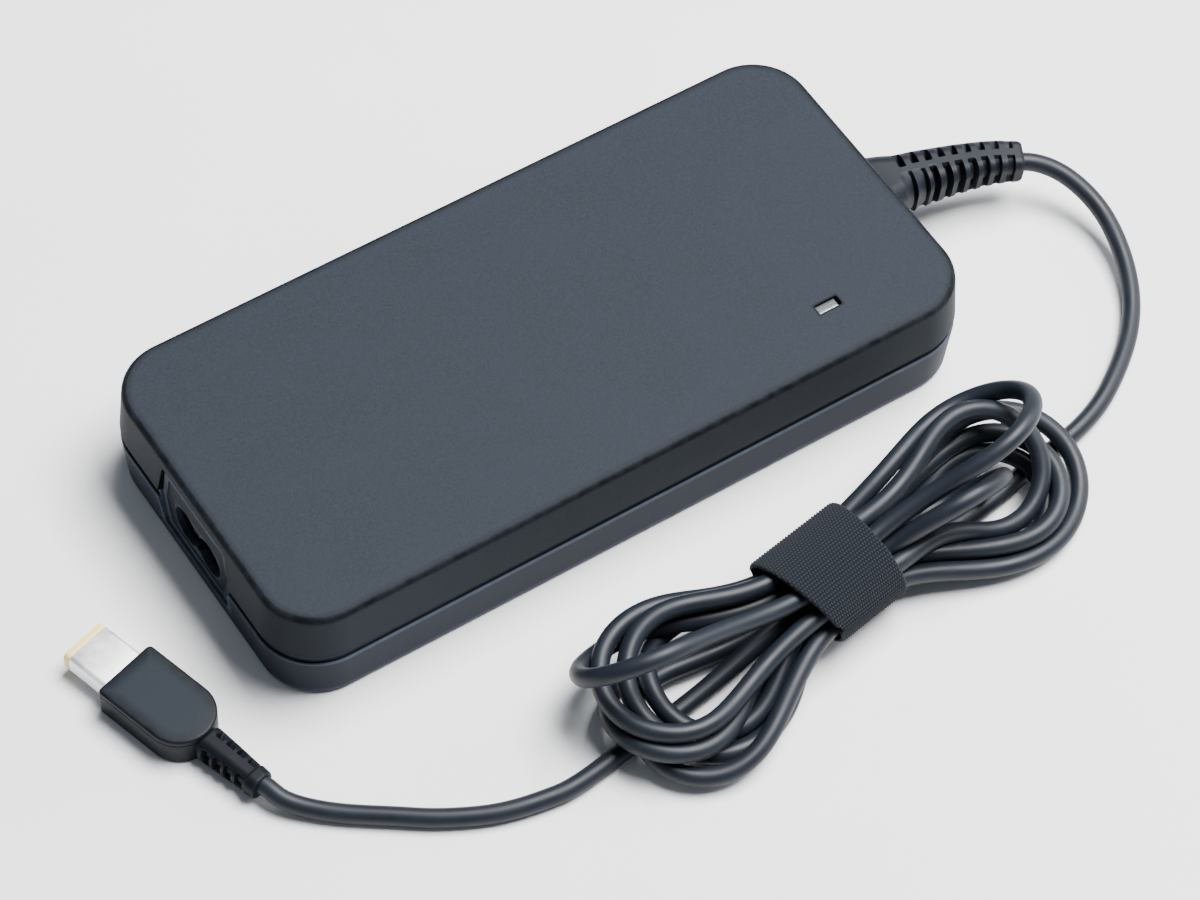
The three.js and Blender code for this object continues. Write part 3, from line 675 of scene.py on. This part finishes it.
def open_bends(line, step):
    """The move that pushes the ends of each short stretch apart where it bends too tightly."""
    move = np.zeros_like(line)
    for span in RELAX["spans"]:
        chord = line[span:] - line[:-span]
        size = np.linalg.norm(chord, axis=1)
        want = 2 * RELAX["bend_radius"] * math.sin(span * step / (2 * RELAX["bend_radius"]))
        push = RELAX["unbend"] * (np.maximum(want - size, 0) / size)[:, None] * chord
        move[span:] += push
        move[:-span] -= push
    return move


def push_apart(line, one, other):
    """The move that parts the turns that lie less than a diameter from each other."""
    clearance = CORD_DIAMETER * RELAX["spread"]
    apart = line[other] - line[one]
    size = np.linalg.norm(apart, axis=1)
    touching = size < clearance
    push = 0.5 * ((clearance - size) / np.maximum(size, 0.001))[touching, None] * apart[touching]
    move = np.zeros_like(line)
    shares = np.zeros(len(line))
    for ends, sign in ((one[touching], -1), (other[touching], 1)):
        np.add.at(move, ends, sign * push)
        np.add.at(shares, ends, 1)
    return RELAX["part"] * move / np.maximum(shares, 1)[:, None]


def uneven_bend(line):
    """How much the bend at each point differs from its neighbours' bends."""
    kink = np.zeros_like(line)
    kink[1:-1] = (line[2:] + line[:-2]) / 2 - line[1:-1]
    change = np.zeros_like(line)
    change[1:-1] = (kink[2:] + kink[:-2]) / 2 - kink[1:-1]
    return change


def keep_length(line, step, loose):
    """Brings neighbouring points back to their distance, moving only the loose ones."""
    for start in (0, 1, 0, 1):
        low = np.arange(start, len(line) - 1, 2)
        link = line[low + 1] - line[low]
        size = np.linalg.norm(link, axis=1)
        pull = 0.5 * ((size - step) / size)[:, None] * link
        line[low] += pull * loose[low, None]
        line[low + 1] -= pull * loose[low + 1, None]


def keep_in_place(line, in_tie):
    """Keeps the passes inside the tie's oval, and everything above the floor."""
    room = [half - CORD_RADIUS for half in RELAX["half_inside"]]
    from_tie = line - TIE_MIDDLE
    places = [from_tie @ SIDEWAYS, from_tie @ UPWARD]
    reach = np.hypot(places[0] / room[0], places[1] / room[1])
    outside = in_tie & (reach > 1)
    back = (1 / reach - 1)[outside, None]
    line[outside] += back * (places[0][outside, None] * SIDEWAYS + places[1][outside, None] * UPWARD)
    line[:, 2] = np.maximum(line[:, 2], CORD_RADIUS)


def settle_cord(line):
    """Lets the hank settle from its planned line, while the arc and the way to the connector stay put."""
    planned = line.copy()
    count = len(line)
    step = np.linalg.norm(np.diff(line, axis=0), axis=1).mean()
    loose = np.zeros(count, bool)
    nearest = [np.argmin(np.linalg.norm(line - p, axis=1)) for p in (ARC_ROUTE[-2], LEAD_ROUTE[1])]
    loose[nearest[0]:nearest[1]] = True
    from_tie = planned - TIE_MIDDLE
    away = np.hypot(from_tie[:, 0], from_tie[:, 1])
    in_tie = (abs(from_tie @ AXIAL) < RELAX["mouth"] + 1) & (away < RELAX["near_tie"])
    first, second = np.triu_indices(count, 4)
    for turn in range(RELAX["rounds"]):
        if turn % RELAX["look_every"] == 0:
            close = np.linalg.norm(line[first] - line[second], axis=1) < CORD_DIAMETER + RELAX["look"]
            one, other = first[close], second[close]
        line[loose] += open_bends(line, step)[loose]
        line[loose] += push_apart(line, one, other)[loose]
        hold = RELAX["hold"] * max(0, 1 - turn / (RELAX["hold_until"] * RELAX["rounds"]))
        line[loose] += hold * (planned - line)[loose]
        line[loose] -= RELAX["even"] * uneven_bend(line)[loose]
        keep_length(line, step, loose)
        keep_in_place(line, in_tie)
    return line


def make_cord():
    line = spaced(spline(settle_cord(planned_route()), 4), 1.2)
    curve = bpy.data.curves.new("cord", "CURVE")
    curve.dimensions = "3D"
    curve.bevel_depth = CORD_RADIUS * MM
    curve.bevel_resolution = 6
    curve.use_fill_caps = True
    path = curve.splines.new("POLY")
    path.points.add(len(line) - 1)
    path.points.foreach_set("co", np.column_stack([line * MM, np.ones(len(line))]).ravel())
    path.use_smooth = True
    cord = link_piece("cord", curve, "cord_jacket")
    finish_piece(cord, "cord_arc", "cord_hank", "cord_lead")
    return cord, np.linalg.norm(np.diff(line, axis=0), axis=1).sum() * MM


cord, cord_length = make_cord()

# ---- tie ----

STRAP = {
    "thick": 0.95, "start": -115, "end": 290, "rib": 0.7, "rib_steps": 5, "stitch": 0.6, "stitch_steps": 4,
    "relief": 0.34, "inner_points": 16, "lap_from": 325, "lap_rise": 35,
}

# How far the strap's two edges wander along the hank as it goes round: (by, towards), in mm and degrees
# round from the front. The whole strap sits a little askew, and its left mouth is pulled wider at the back.
ASKEW = (1.5, 60)
FLARE = (2.2, 155)
FRAY = {"at": 14, "span": 5, "depth": 0.75}


def strap_edges(degree):
    """Where the strap's left and right edges are along the hank, from its middle."""
    both = -ASKEW[0] * math.cos(math.radians(degree - ASKEW[1]))
    flare = -FLARE[0] * math.cos(math.radians(degree - FLARE[1]))
    fray = FRAY["depth"] * math.exp(-((degree - FRAY["at"]) / FRAY["span"]) ** 2)
    return both + flare + fray - TIE["strap"] / 2, both + TIE["strap"] / 2


def strap_path():
    """The strap's middle line as seen along the hank: its points, the way out from each, and degrees round.
    It goes once round the hank and over its own start, where its hooks hold it."""
    degrees = np.linspace(STRAP["start"], STRAP["end"], 3000)
    turned = np.radians(degrees)
    lapped = np.clip((degrees - (STRAP["start"] + STRAP["lap_from"])) / STRAP["lap_rise"], 0, 1)
    rise = STRAP["thick"] * 1.04 * lapped ** 2 * (3 - 2 * lapped)
    half = TIE["half"] + STRAP["thick"] / 2 + rise
    half_height = TIE["half_height"] + STRAP["thick"] / 2 + rise
    flat = np.stack([-half * np.cos(turned), half_height * np.sin(turned)], 1)
    run = run_along(flat)
    ribs = round(run[-1] / STRAP["rib"])
    places = np.linspace(0, run[-1], ribs * STRAP["rib_steps"] + 1)
    flat = points_at(places, run, flat)
    along = np.gradient(flat, axis=0)
    along /= np.linalg.norm(along, axis=1)[:, None]
    return flat, np.stack([-along[:, 1], along[:, 0]], 1), np.interp(places, run, degrees)


def make_tie():
    """The strap's ribs lie across it and its stitches stand on the ribs, which its material reads as raised and
    paints with painted light on top and painted shade between.
    """
    flat, outward, degrees = strap_path()
    stitches = round(TIE["strap"] / STRAP["stitch"])
    share = np.linspace(0, 1, stitches * STRAP["stitch_steps"] + 1)
    share_inner = np.linspace(1, 0, STRAP["inner_points"])
    ragged = np.random.default_rng(SEED).normal(0, 1, (2, len(flat)))
    soften = np.exp(-np.linspace(-2, 2, 9) ** 2)
    ragged = np.array([np.convolve(edge, soften / soften.sum(), "same") for edge in ragged])

    rings, raised = [], []
    for k, (middle, out, degree) in enumerate(zip(flat, outward, degrees)):
        rib = k / STRAP["rib_steps"]
        ridge = 0.5 + 0.5 * math.cos(2 * math.pi * rib)
        shift = 0.5 * (round(rib) % 2)
        knit = 0.5 + 0.5 * np.cos(2 * math.pi * (share * stitches + shift))
        left, right = strap_edges(degree)
        edge = np.clip((right - left) * (0.5 - abs(share - 0.5)) / 0.5, 0, 1)
        height = (0.2 + 0.8 * ridge) * (0.25 + 0.75 * knit)
        outer = STRAP["thick"] / 2 - 0.25 * (1 - edge) ** 2 + STRAP["relief"] * (height - 0.5) * edge
        inner = np.full(STRAP["inner_points"], -STRAP["thick"] / 2)
        inner[[0, -1]] += 0.25
        wobble = 0.1 * (ragged[0, k] * (share > 0.5) - ragged[1, k] * (share < 0.5)) * (1 - edge)
        width_wise = left + (right - left) * np.concatenate([share, share_inner])
        width_wise[:len(share)] += wobble
        out_wise = np.concatenate([outer, inner])
        spot = middle + out_wise[:, None] * out
        ring = TIE_MIDDLE + width_wise[:, None] * AXIAL + spot[:, :1] * SIDEWAYS + spot[:, 1:] * UPWARD
        rings.append(ring)
        raised.append(np.concatenate([height, np.full(STRAP["inner_points"], 0.3)]))
    points, faces = loft(rings)
    points[:, 2] = np.maximum(points[:, 2], 0.05)
    mesh = bpy.data.meshes.new("tie_strap")
    mesh.from_pydata((points * MM).tolist(), [], faces)
    mesh.attributes.new("raised", "FLOAT", "POINT").data.foreach_set("value", np.concatenate(raised))
    bm = bmesh.new()
    bm.from_mesh(mesh)
    bmesh.ops.recalc_face_normals(bm, faces=bm.faces)
    bm.to_mesh(mesh)
    bm.free()
    mesh.shade_smooth()
    return finish_piece(link_piece("tie_strap", mesh, "tie_fabric"), "cord_tie")


tie = make_tie()

# ---- moulded sleeves ----

OUTLINE_POINTS = 112
SLEEVE_STEP = 0.2
SLOT_EDGE = 0.18  # how softly a slot's sides are rounded


def even_outline(half_x, half_y, radius):
    """A rounded rectangle with evenly spaced points."""
    radius = min(radius, half_x - 0.05, half_y - 0.05)
    corners = rounded_rectangle(half_x, half_y, radius, 24)
    closed = np.vstack([corners, corners[:1]])
    run = run_along(closed)
    places = np.linspace(0, run[-1], OUTLINE_POINTS, endpoint=False)
    return points_at(places, run, closed)


def ease(value):
    value = np.clip(value, 0, 1)
    return value * value * (3 - 2 * value)


def window(value, low, high, edge=SLOT_EDGE):
    return ease((value - low) / edge + 0.5) * ease((high - value) / edge + 0.5)


def sleeve_skin(line, sections, slots, spine, roll=0.0):
    """A sleeve along a line. Sections give, at shares of its length, half-width, half-height and corner radius.
    Each slot is (sign, start, end, core, low, high, ramp): sign is its side, start and end are how far along it
    is, core is how thick the middle stays, low and high are how far down and up it reaches, and ramp slopes its
    floor. Slots leave a narrow spine along the top and bottom."""
    along, left, up = line_frames(line)
    run = run_along(line)
    table = np.array(sections)
    turn = math.radians(roll)
    rings = []
    for k, place in enumerate(run):
        share = place / run[-1]
        half_x, half_y, radius = (np.interp(share, table[:, 0], table[:, column]) for column in (1, 2, 3))
        outline = even_outline(half_x, half_y, radius)
        for sign, start, end, core, low, high, ramp in slots:
            open_here = window(place, start, end) * window(outline[:, 0] * sign, spine, 99, 0.35)
            open_here = open_here * window(outline[:, 1], low, high, 0.35)
            if ramp:
                open_here = open_here * np.clip((place - start) / (end - start), 0, 1)
            size = np.hypot(outline[:, 0], outline[:, 1])
            outline *= (1 - open_here * np.maximum(1 - core / size, 0))[:, None]
        spin = turn * ease((share - 0.12) / 0.2)
        across = outline[:, 0] * math.cos(spin) - outline[:, 1] * math.sin(spin)
        upright = outline[:, 0] * math.sin(spin) + outline[:, 1] * math.cos(spin)
        rings.append(line[k] + across[:, None] * left[k] + upright[:, None] * up[k])
    return loft(rings)


def output_slots(length):
    """The boot's slots on both sides. On the front the first ones are closed scales, and on the back they only
    reach down from the top."""
    widths = np.array(BOOT_SECTIONS)
    slots = []
    for k, share in enumerate(np.linspace(BOOT["first"], BOOT["last"], BOOT["slots"])):
        middle = share * length
        half = np.interp(share, widths[:, 0], widths[:, 1])
        front = (-0.85 * half, 9)
        if k < BOOT["scales"]:
            slots.append((-1, middle - 1.6, middle + 0.75, half - 0.3, *front, True))
            slots.append((-1, middle + 0.45, middle + 0.95, half - 0.9, *front, False))
        else:
            reach = BOOT["width"] / 2
            slots.append((-1, middle - reach, middle + reach, BOOT["core"], *front, False))
        reach = BOOT["back_width"] / 2
        slots.append((1, middle - reach, middle + reach, BOOT["back_core"], 0.74 * half, 9, False))
    return slots


def make_output_boot():
    line = spaced(spline(BOOT_ROUTE), SLEEVE_STEP)
    slots = output_slots(SLEEVE_STEP * (len(line) - 1))
    skin = sleeve_skin(line, BOOT_SECTIONS, slots, BOOT["spine"], BOOT["roll"])
    boot = make_piece("output_sleeve", skin, "boot_rubber")
    return finish_solid(boot, "output_boot", angle=40)


output_sleeve = make_output_boot()

# ---- case ----

case_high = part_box("upper_shell")[1]
HALF_LENGTH = case_high.x / MM
HALF_WIDTH = case_high.y / MM
TOP = case_high.z / MM


def case_outline(inset):
    return rounded_rectangle(HALF_LENGTH - inset, HALF_WIDTH - inset, CASE_CORNER - inset, CORNER_STEPS)


def case_skin(corners, radii):
    return loft([level_ring(case_outline(inset), z) for inset, z in round_corners(corners, radii)])


def partway(start, end, share):
    """A point on the straight line between two corners of a profile."""
    return tuple(low + (high - low) * share for low, high in zip(start, end))


def bezel_outline(grow, radius=0.9):
    shoulder = BEZEL["shoulder_half"] + grow
    foot, head = BEZEL["bottom_half"] + grow, BEZEL["top_half"] + grow
    low, high = BEZEL["bottom"] - grow, BEZEL["top"] + grow
    corners = [
        (-foot, low), (foot, low), (shoulder, BEZEL["shoulder"]), (head, high), (-head, high),
        (-shoulder, BEZEL["shoulder"]),
    ]
    return round_corners(corners, [radius] * 6, 6, closed=True)


def make_case():
    inlet_hole = prism(bezel_outline(0.22), -HALF_LENGTH - 1, -HALF_LENGTH + 6)
    boot_hole = prism(rounded_rectangle(6.3, 4.9, 2, 8) + BOOT_ROUTE[0][1:], HALF_LENGTH - 5, HALF_LENGTH + 2)
    plate = rounded_rectangle(LABEL["length"] / 2, LABEL["width"] / 2, 3, 8)
    recess = prism(plate, -1, LABEL["recess"], "z")
    light_slot = rounded_rectangle(LIGHT["length"] / 2 + 0.12, LIGHT["width"] / 2 + 0.12, 0.3, 4)
    light_hole = prism(light_slot + (LIGHT["x"], LIGHT["y"]), TOP - 6, TOP + 1, "z")

    lower_top, groove_top, groove = SPLIT["lower_top"], SPLIT["groove_top"], SPLIT["groove_depth"]
    tongue_out, tongue_in, tongue_top = WALL + GAP, WALL + 1.4, groove_top + 2.2
    foot, rim, skirt, eave = (0.88, 0), (0.02, lower_top), (0, groove_top), (0.93, TOP)
    lower = make_piece("lower_case", case_skin([
        (8, 0), (4, 0), foot, partway(foot, rim, 0.2), partway(foot, rim, 0.93), rim,
        (groove, lower_top), (groove, groove_top - GAP), (tongue_out, groove_top - GAP),
        (tongue_out, tongue_top), (tongue_in, tongue_top), (tongue_in, lower_top - 1.6),
        (WALL + 0.2, lower_top - 2.8), (WALL + 0.8, 2), (8, 2),
    ], [0, 0, 1.4, 0, 0, 0.3, 0.12, 0.1, 0, 0, 0, 0, 0, 0, 0]), "lower_case")
    carve(lower, inlet_hole, boot_hole, recess, guard=0.6)
    finish_solid(lower, "lower_shell")

    upper = make_piece("upper_case", case_skin([
        (8, TOP - WALL), (WALL + 1.2, TOP - WALL), (WALL, groove_top), skirt, partway(skirt, eave, 0.08),
        partway(skirt, eave, 0.84), eave, (3.2, TOP), (8, TOP),
    ], [0, 0, 0, 0.3, 0, 0, 1.15, 0, 0]), "upper_case")
    carve(upper, inlet_hole, boot_hole, light_hole, guard=0.6)
    finish_solid(upper, "upper_shell")


def make_light():
    """The light pipe's window: a little lower than the lid, and short of its slot at the lead's end."""
    half_x, half_y = LIGHT["length"] / 2, LIGHT["width"] / 2
    short, top = LIGHT["short"], TOP - LIGHT["sunk"]
    rings = []
    for inset, z in round_corners([(0, 12), (0, top), (1, top)], [0, 0.15, 0], 3):
        inset = min(inset, half_y - 0.2)
        outline = rounded_rectangle(half_x - short / 2 - inset, half_y - inset, 0.15, 3)
        outline += (LIGHT["x"] - short / 2, LIGHT["y"])
        rings.append(level_ring(outline, z))
    window_piece = make_piece("light_window", loft(rings), "lens")
    finish_solid(window_piece, "led_lens")


def figure_eight(grow, notch):
    """The inlet's opening: two round lobes joined by a waist, with a notch above and below its middle."""
    radius, spacing = SOCKET["lobe_radius"] + grow, SOCKET["lobe_spacing"] / 2
    waist = SOCKET["waist"] / 2 + grow - 1.1
    meet = math.asin(waist / radius)
    points = []
    for side in (1, -1):
        for step in range(33):
            angle = -(math.pi - meet) + 2 * (math.pi - meet) * step / 32
            points.append((side * (spacing + radius * math.cos(angle)), side * radius * math.sin(angle)))
        points += [(side * notch, side * waist), (side * notch, side * (waist + notch * 0.6)),
                   (-side * notch, side * (waist + notch * 0.6)), (-side * notch, side * waist)]
    return np.array(points) + (0, SOCKET["z"])


def make_inlet():
    face, depth = INLET_FACE, SOCKET["depth"]
    frame_width, sunk = BEZEL["frame"], BEZEL["sunk"]
    profile = [
        (0, face + 1.4), (0, face + 0.3), (-0.35, face), (-frame_width, face),
        (-frame_width - 0.25, face + sunk), (-3.2, face + sunk),
    ]
    rings = []
    for grow, x in profile:
        outline = bezel_outline(grow)
        rings.append(np.column_stack([np.full(len(outline), x), outline]))
    bezel = make_piece("inlet_bezel", loft(rings), "inlet_plastic")
    carve(bezel, prism(figure_eight(0, SOCKET["notch"]), face - 1, face + 3), guard=0.3)
    finish_solid(bezel, "inlet_socket")

    block = prism(figure_eight(0.7, 0.2), face + 0.5, face + depth + 2)
    well = make_piece("inlet_well", block, "inlet_plastic", SOCKET_BLACK)
    carve(well, prism(figure_eight(0.02, SOCKET["notch"]), face - 1, face + depth))
    finish_solid(well)


def make_pins():
    """The inlet's two round pins: a domed tip behind the mouth, and a shaft back into the well's end."""
    start, radius = INLET_FACE + PIN["setback"], PIN["radius"]
    dome = [(radius * (1 - math.cos(a)), radius * math.sin(a)) for a in np.linspace(0.15, math.pi / 2, 7)]
    shaft_end = (SOCKET["depth"] + 2 - PIN["setback"], radius)
    turns = np.linspace(0, 2 * math.pi, PIN["sides"], endpoint=False)
    for name, side in (("line", 1), ("neutral", -1)):
        rings = []
        for back, reach in dome + [shaft_end]:
            rings.append(np.column_stack([
                np.full(PIN["sides"], start + back), side * PIN["spacing"] / 2 + reach * np.cos(turns),
                SOCKET["z"] + reach * np.sin(turns),
            ]))
        pin = make_piece(f"contact_pin_{name}", loft(rings), "pin_metal")
        finish_solid(pin, f"inlet_pin_{name}")


make_case()
make_light()
make_inlet()
make_pins()

# ---- connector ----

TURN = math.radians(TIP["heading"] - 90)
PLUG_MIDDLE = PLUG["height"] / 2


def from_plug(skin):
    """Places a skin made with the nose along +Y and the front edge's middle at the origin."""
    points, faces = skin
    x, y = points[:, 0], points[:, 1]
    turned = np.column_stack([
        x * math.cos(TURN) - y * math.sin(TURN) + TIP["x"], x * math.sin(TURN) + y * math.cos(TURN) + TIP["y"],
        points[:, 2],
    ])
    return turned, faces


def plug_outline(inset):
    """Straight at the front, where two small corners are round, and half a circle at the back."""
    half = PLUG["width"] / 2 - inset
    corner = 0.9
    back = [
        (half * math.cos(a), half * math.sin(a) - PLUG["length"] + PLUG["width"] / 2)
        for a in np.linspace(-math.pi, 0, 41)
    ]
    ends = [(half, -10), (half, -inset), (-half, -inset), (-half, -10)]
    front = round_corners(ends, [0, corner, corner, 0], 6)
    return np.array(back + [tuple(p) for p in front[1:-1]])


def barrel(grow, start, end):
    corner = max(0.2, NOSE["corner"] + grow)
    outline = rounded_rectangle(NOSE["width"] / 2 + grow, NOSE["height"] / 2 + grow, corner, 10)
    return prism(outline + (0, PLUG_MIDDLE), start, end, "y")


def make_plug_body():
    height, bevel = PLUG["height"], PLUG["bevel"]
    seam = height - PLUG["seam"]
    profile = round_corners([
        (3, 0), (0, 0), (0, seam - 0.12), (PLUG["seam_depth"], seam), (0, seam + 0.12), (0, height),
        (3, height),
    ], [0, bevel, 0.05, 0.05, 0.05, 0.5, 0], 4)
    rings = [level_ring(plug_outline(inset), z) for inset, z in profile]
    body = make_piece("plug_body", from_plug(loft(rings)), "connector_plastic")
    carve(body, from_plug(barrel(0.08, -NOSE["inside"] - GAP, 2)))
    return finish_solid(body, "connector_housing")


def make_plug_nose():
    """A metal shell, its insulating lining with the band in front of the metal, and the centre blade."""
    metal_end = NOSE["length"] - NOSE["lip"]
    shell = make_piece("plug_shell", from_plug(barrel(0, -NOSE["inside"], metal_end)), "connector_metal")
    carve(shell, from_plug(barrel(-NOSE["wall"], -NOSE["inside"] - 1, metal_end + 1)))
    bevel_edges(shell, 0.1)
    finish_solid(shell, "connector_shell")

    lining = barrel(-NOSE["wall"] - 0.02, -NOSE["inside"], metal_end - 0.01)
    core = make_piece("plug_core", from_plug(lining), "insulator")
    carve(core, from_plug(barrel(-0.02, metal_end + 0.02, NOSE["length"])), operation="UNION")
    well = rounded_rectangle(3.3, 0.95, 0.3, 5) + (0, PLUG_MIDDLE)
    carve(core, from_plug(prism(well, 1, NOSE["length"] + 1, "y")))
    bevel_edges(core, 0.12)
    finish_solid(core, "connector_insulator")

    flat = rounded_rectangle(1.1, 0.35, 0.12, 4) + (0, PLUG_MIDDLE)
    blade = make_piece("plug_blade", from_plug(prism(flat, 2.3, NOSE["length"] - 1.7, "y")), "connector_metal")
    bevel_edges(blade, 0.08)
    finish_solid(blade, "connector_centre_pin")
    return [shell, core, blade]


def make_plug_sleeve():
    start = -PLUG["length"] - 0.05
    back = start - PLUG_BOOT["length"] - 0.25
    line = spaced(spline([
        (0, start + 1.5, PLUG_MIDDLE), (0, start, PLUG_MIDDLE), (0, (start + back) / 2, PLUG_MIDDLE - 0.1),
        (0, back, PLUG_MIDDLE - 0.2),
    ]), SLEEVE_STEP)
    wide, narrow = PLUG_BOOT["start_half"], PLUG_BOOT["end_half"]
    sections = [
        (0, wide - 0.5, wide - 0.5, 2), (0.1, wide - 0.5, wide - 0.5, 2), (0.11, wide, wide, 2.3),
        (0.5, 2.85, 2.85, 2.2), (0.84, narrow - 0.05, narrow - 0.05, 2), (0.86, narrow + 0.1, narrow + 0.1, 2),
        (0.98, narrow, narrow, 2), (1, narrow - 0.2, narrow - 0.2, 1.9),
    ]
    slots = []
    for k in range(PLUG_BOOT["slots"]):
        middle = PLUG_BOOT["first"] + PLUG_BOOT["pitch"] * k
        reach = PLUG_BOOT["width"] / 2
        for sign, low, high in ((-1, -1.1, 2.1), (1, 1.7, 9)):
            slots.append((sign, middle - reach, middle + reach, PLUG_BOOT["core"], low, high, False))
    skin = from_plug(sleeve_skin(line, sections, slots, PLUG_BOOT["spine"]))
    sleeve = make_piece("plug_sleeve", skin, "boot_rubber", DARK_RUBBER)
    return finish_solid(sleeve, "connector_boot", angle=40)


plug_pieces = [make_plug_body(), *make_plug_nose(), make_plug_sleeve()]

# ---- the frame's own nodes ----

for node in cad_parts.values():
    if node.hide_render:
        continue
    for holder in node.material_slots:
        finish = holder.material.name.split(".")[0]
        if finish in MATERIALS:
            holder.material = MATERIALS[finish]

# ---- floor and lights ----


def make_floor():
    mesh = bpy.data.meshes.new("floor")
    corners = [(1.6 * x, 1.6 * y, 0) for x, y in ((-1, -1), (1, -1), (1, 1), (-1, 1))]
    mesh.from_pydata(corners, [], [(0, 1, 2, 3)])
    nodes = Nodes("floor")
    nodes.set(Specular_IOR_Level=0.2, Roughness=0.8)
    mottle = nodes.remap(nodes.noise(60, 3), 0.3, 0.7)
    nodes.link(nodes.mix(mottle, (0.75, 0.75, 0.754, 1), (0.78, 0.78, 0.78, 1)), "Base Color")
    mesh.materials.append(nodes.material)
    add_object("floor", mesh)


def make_light_panel(name, place, target, size, energy, color=(1, 1, 1)):
    data = bpy.data.lights.new(name, "AREA")
    data.shape = "RECTANGLE"
    data.size, data.size_y = size
    data.energy = energy
    data.color = color
    panel = add_object(name, data)
    panel.location = place
    panel.rotation_euler = (Vector(target) - Vector(place)).to_track_quat("-Z", "Y").to_euler()


make_floor()
make_light_panel("overhead", (0.5, -0.05, 1.2), (0, 0, 0), (0.9, 0.7), 76)
make_light_panel("right", (1.2, -0.2, 0.5), (0, -0.02, 0), (0.7, 0.5), 9)

world = bpy.data.worlds.new("world")
world.use_nodes = True
sky = world.node_tree.nodes["Background"].inputs
sky["Color"].default_value = (0.78, 0.88, 1.0, 1)
sky["Strength"].default_value = 0.27
bpy.context.scene.world = world
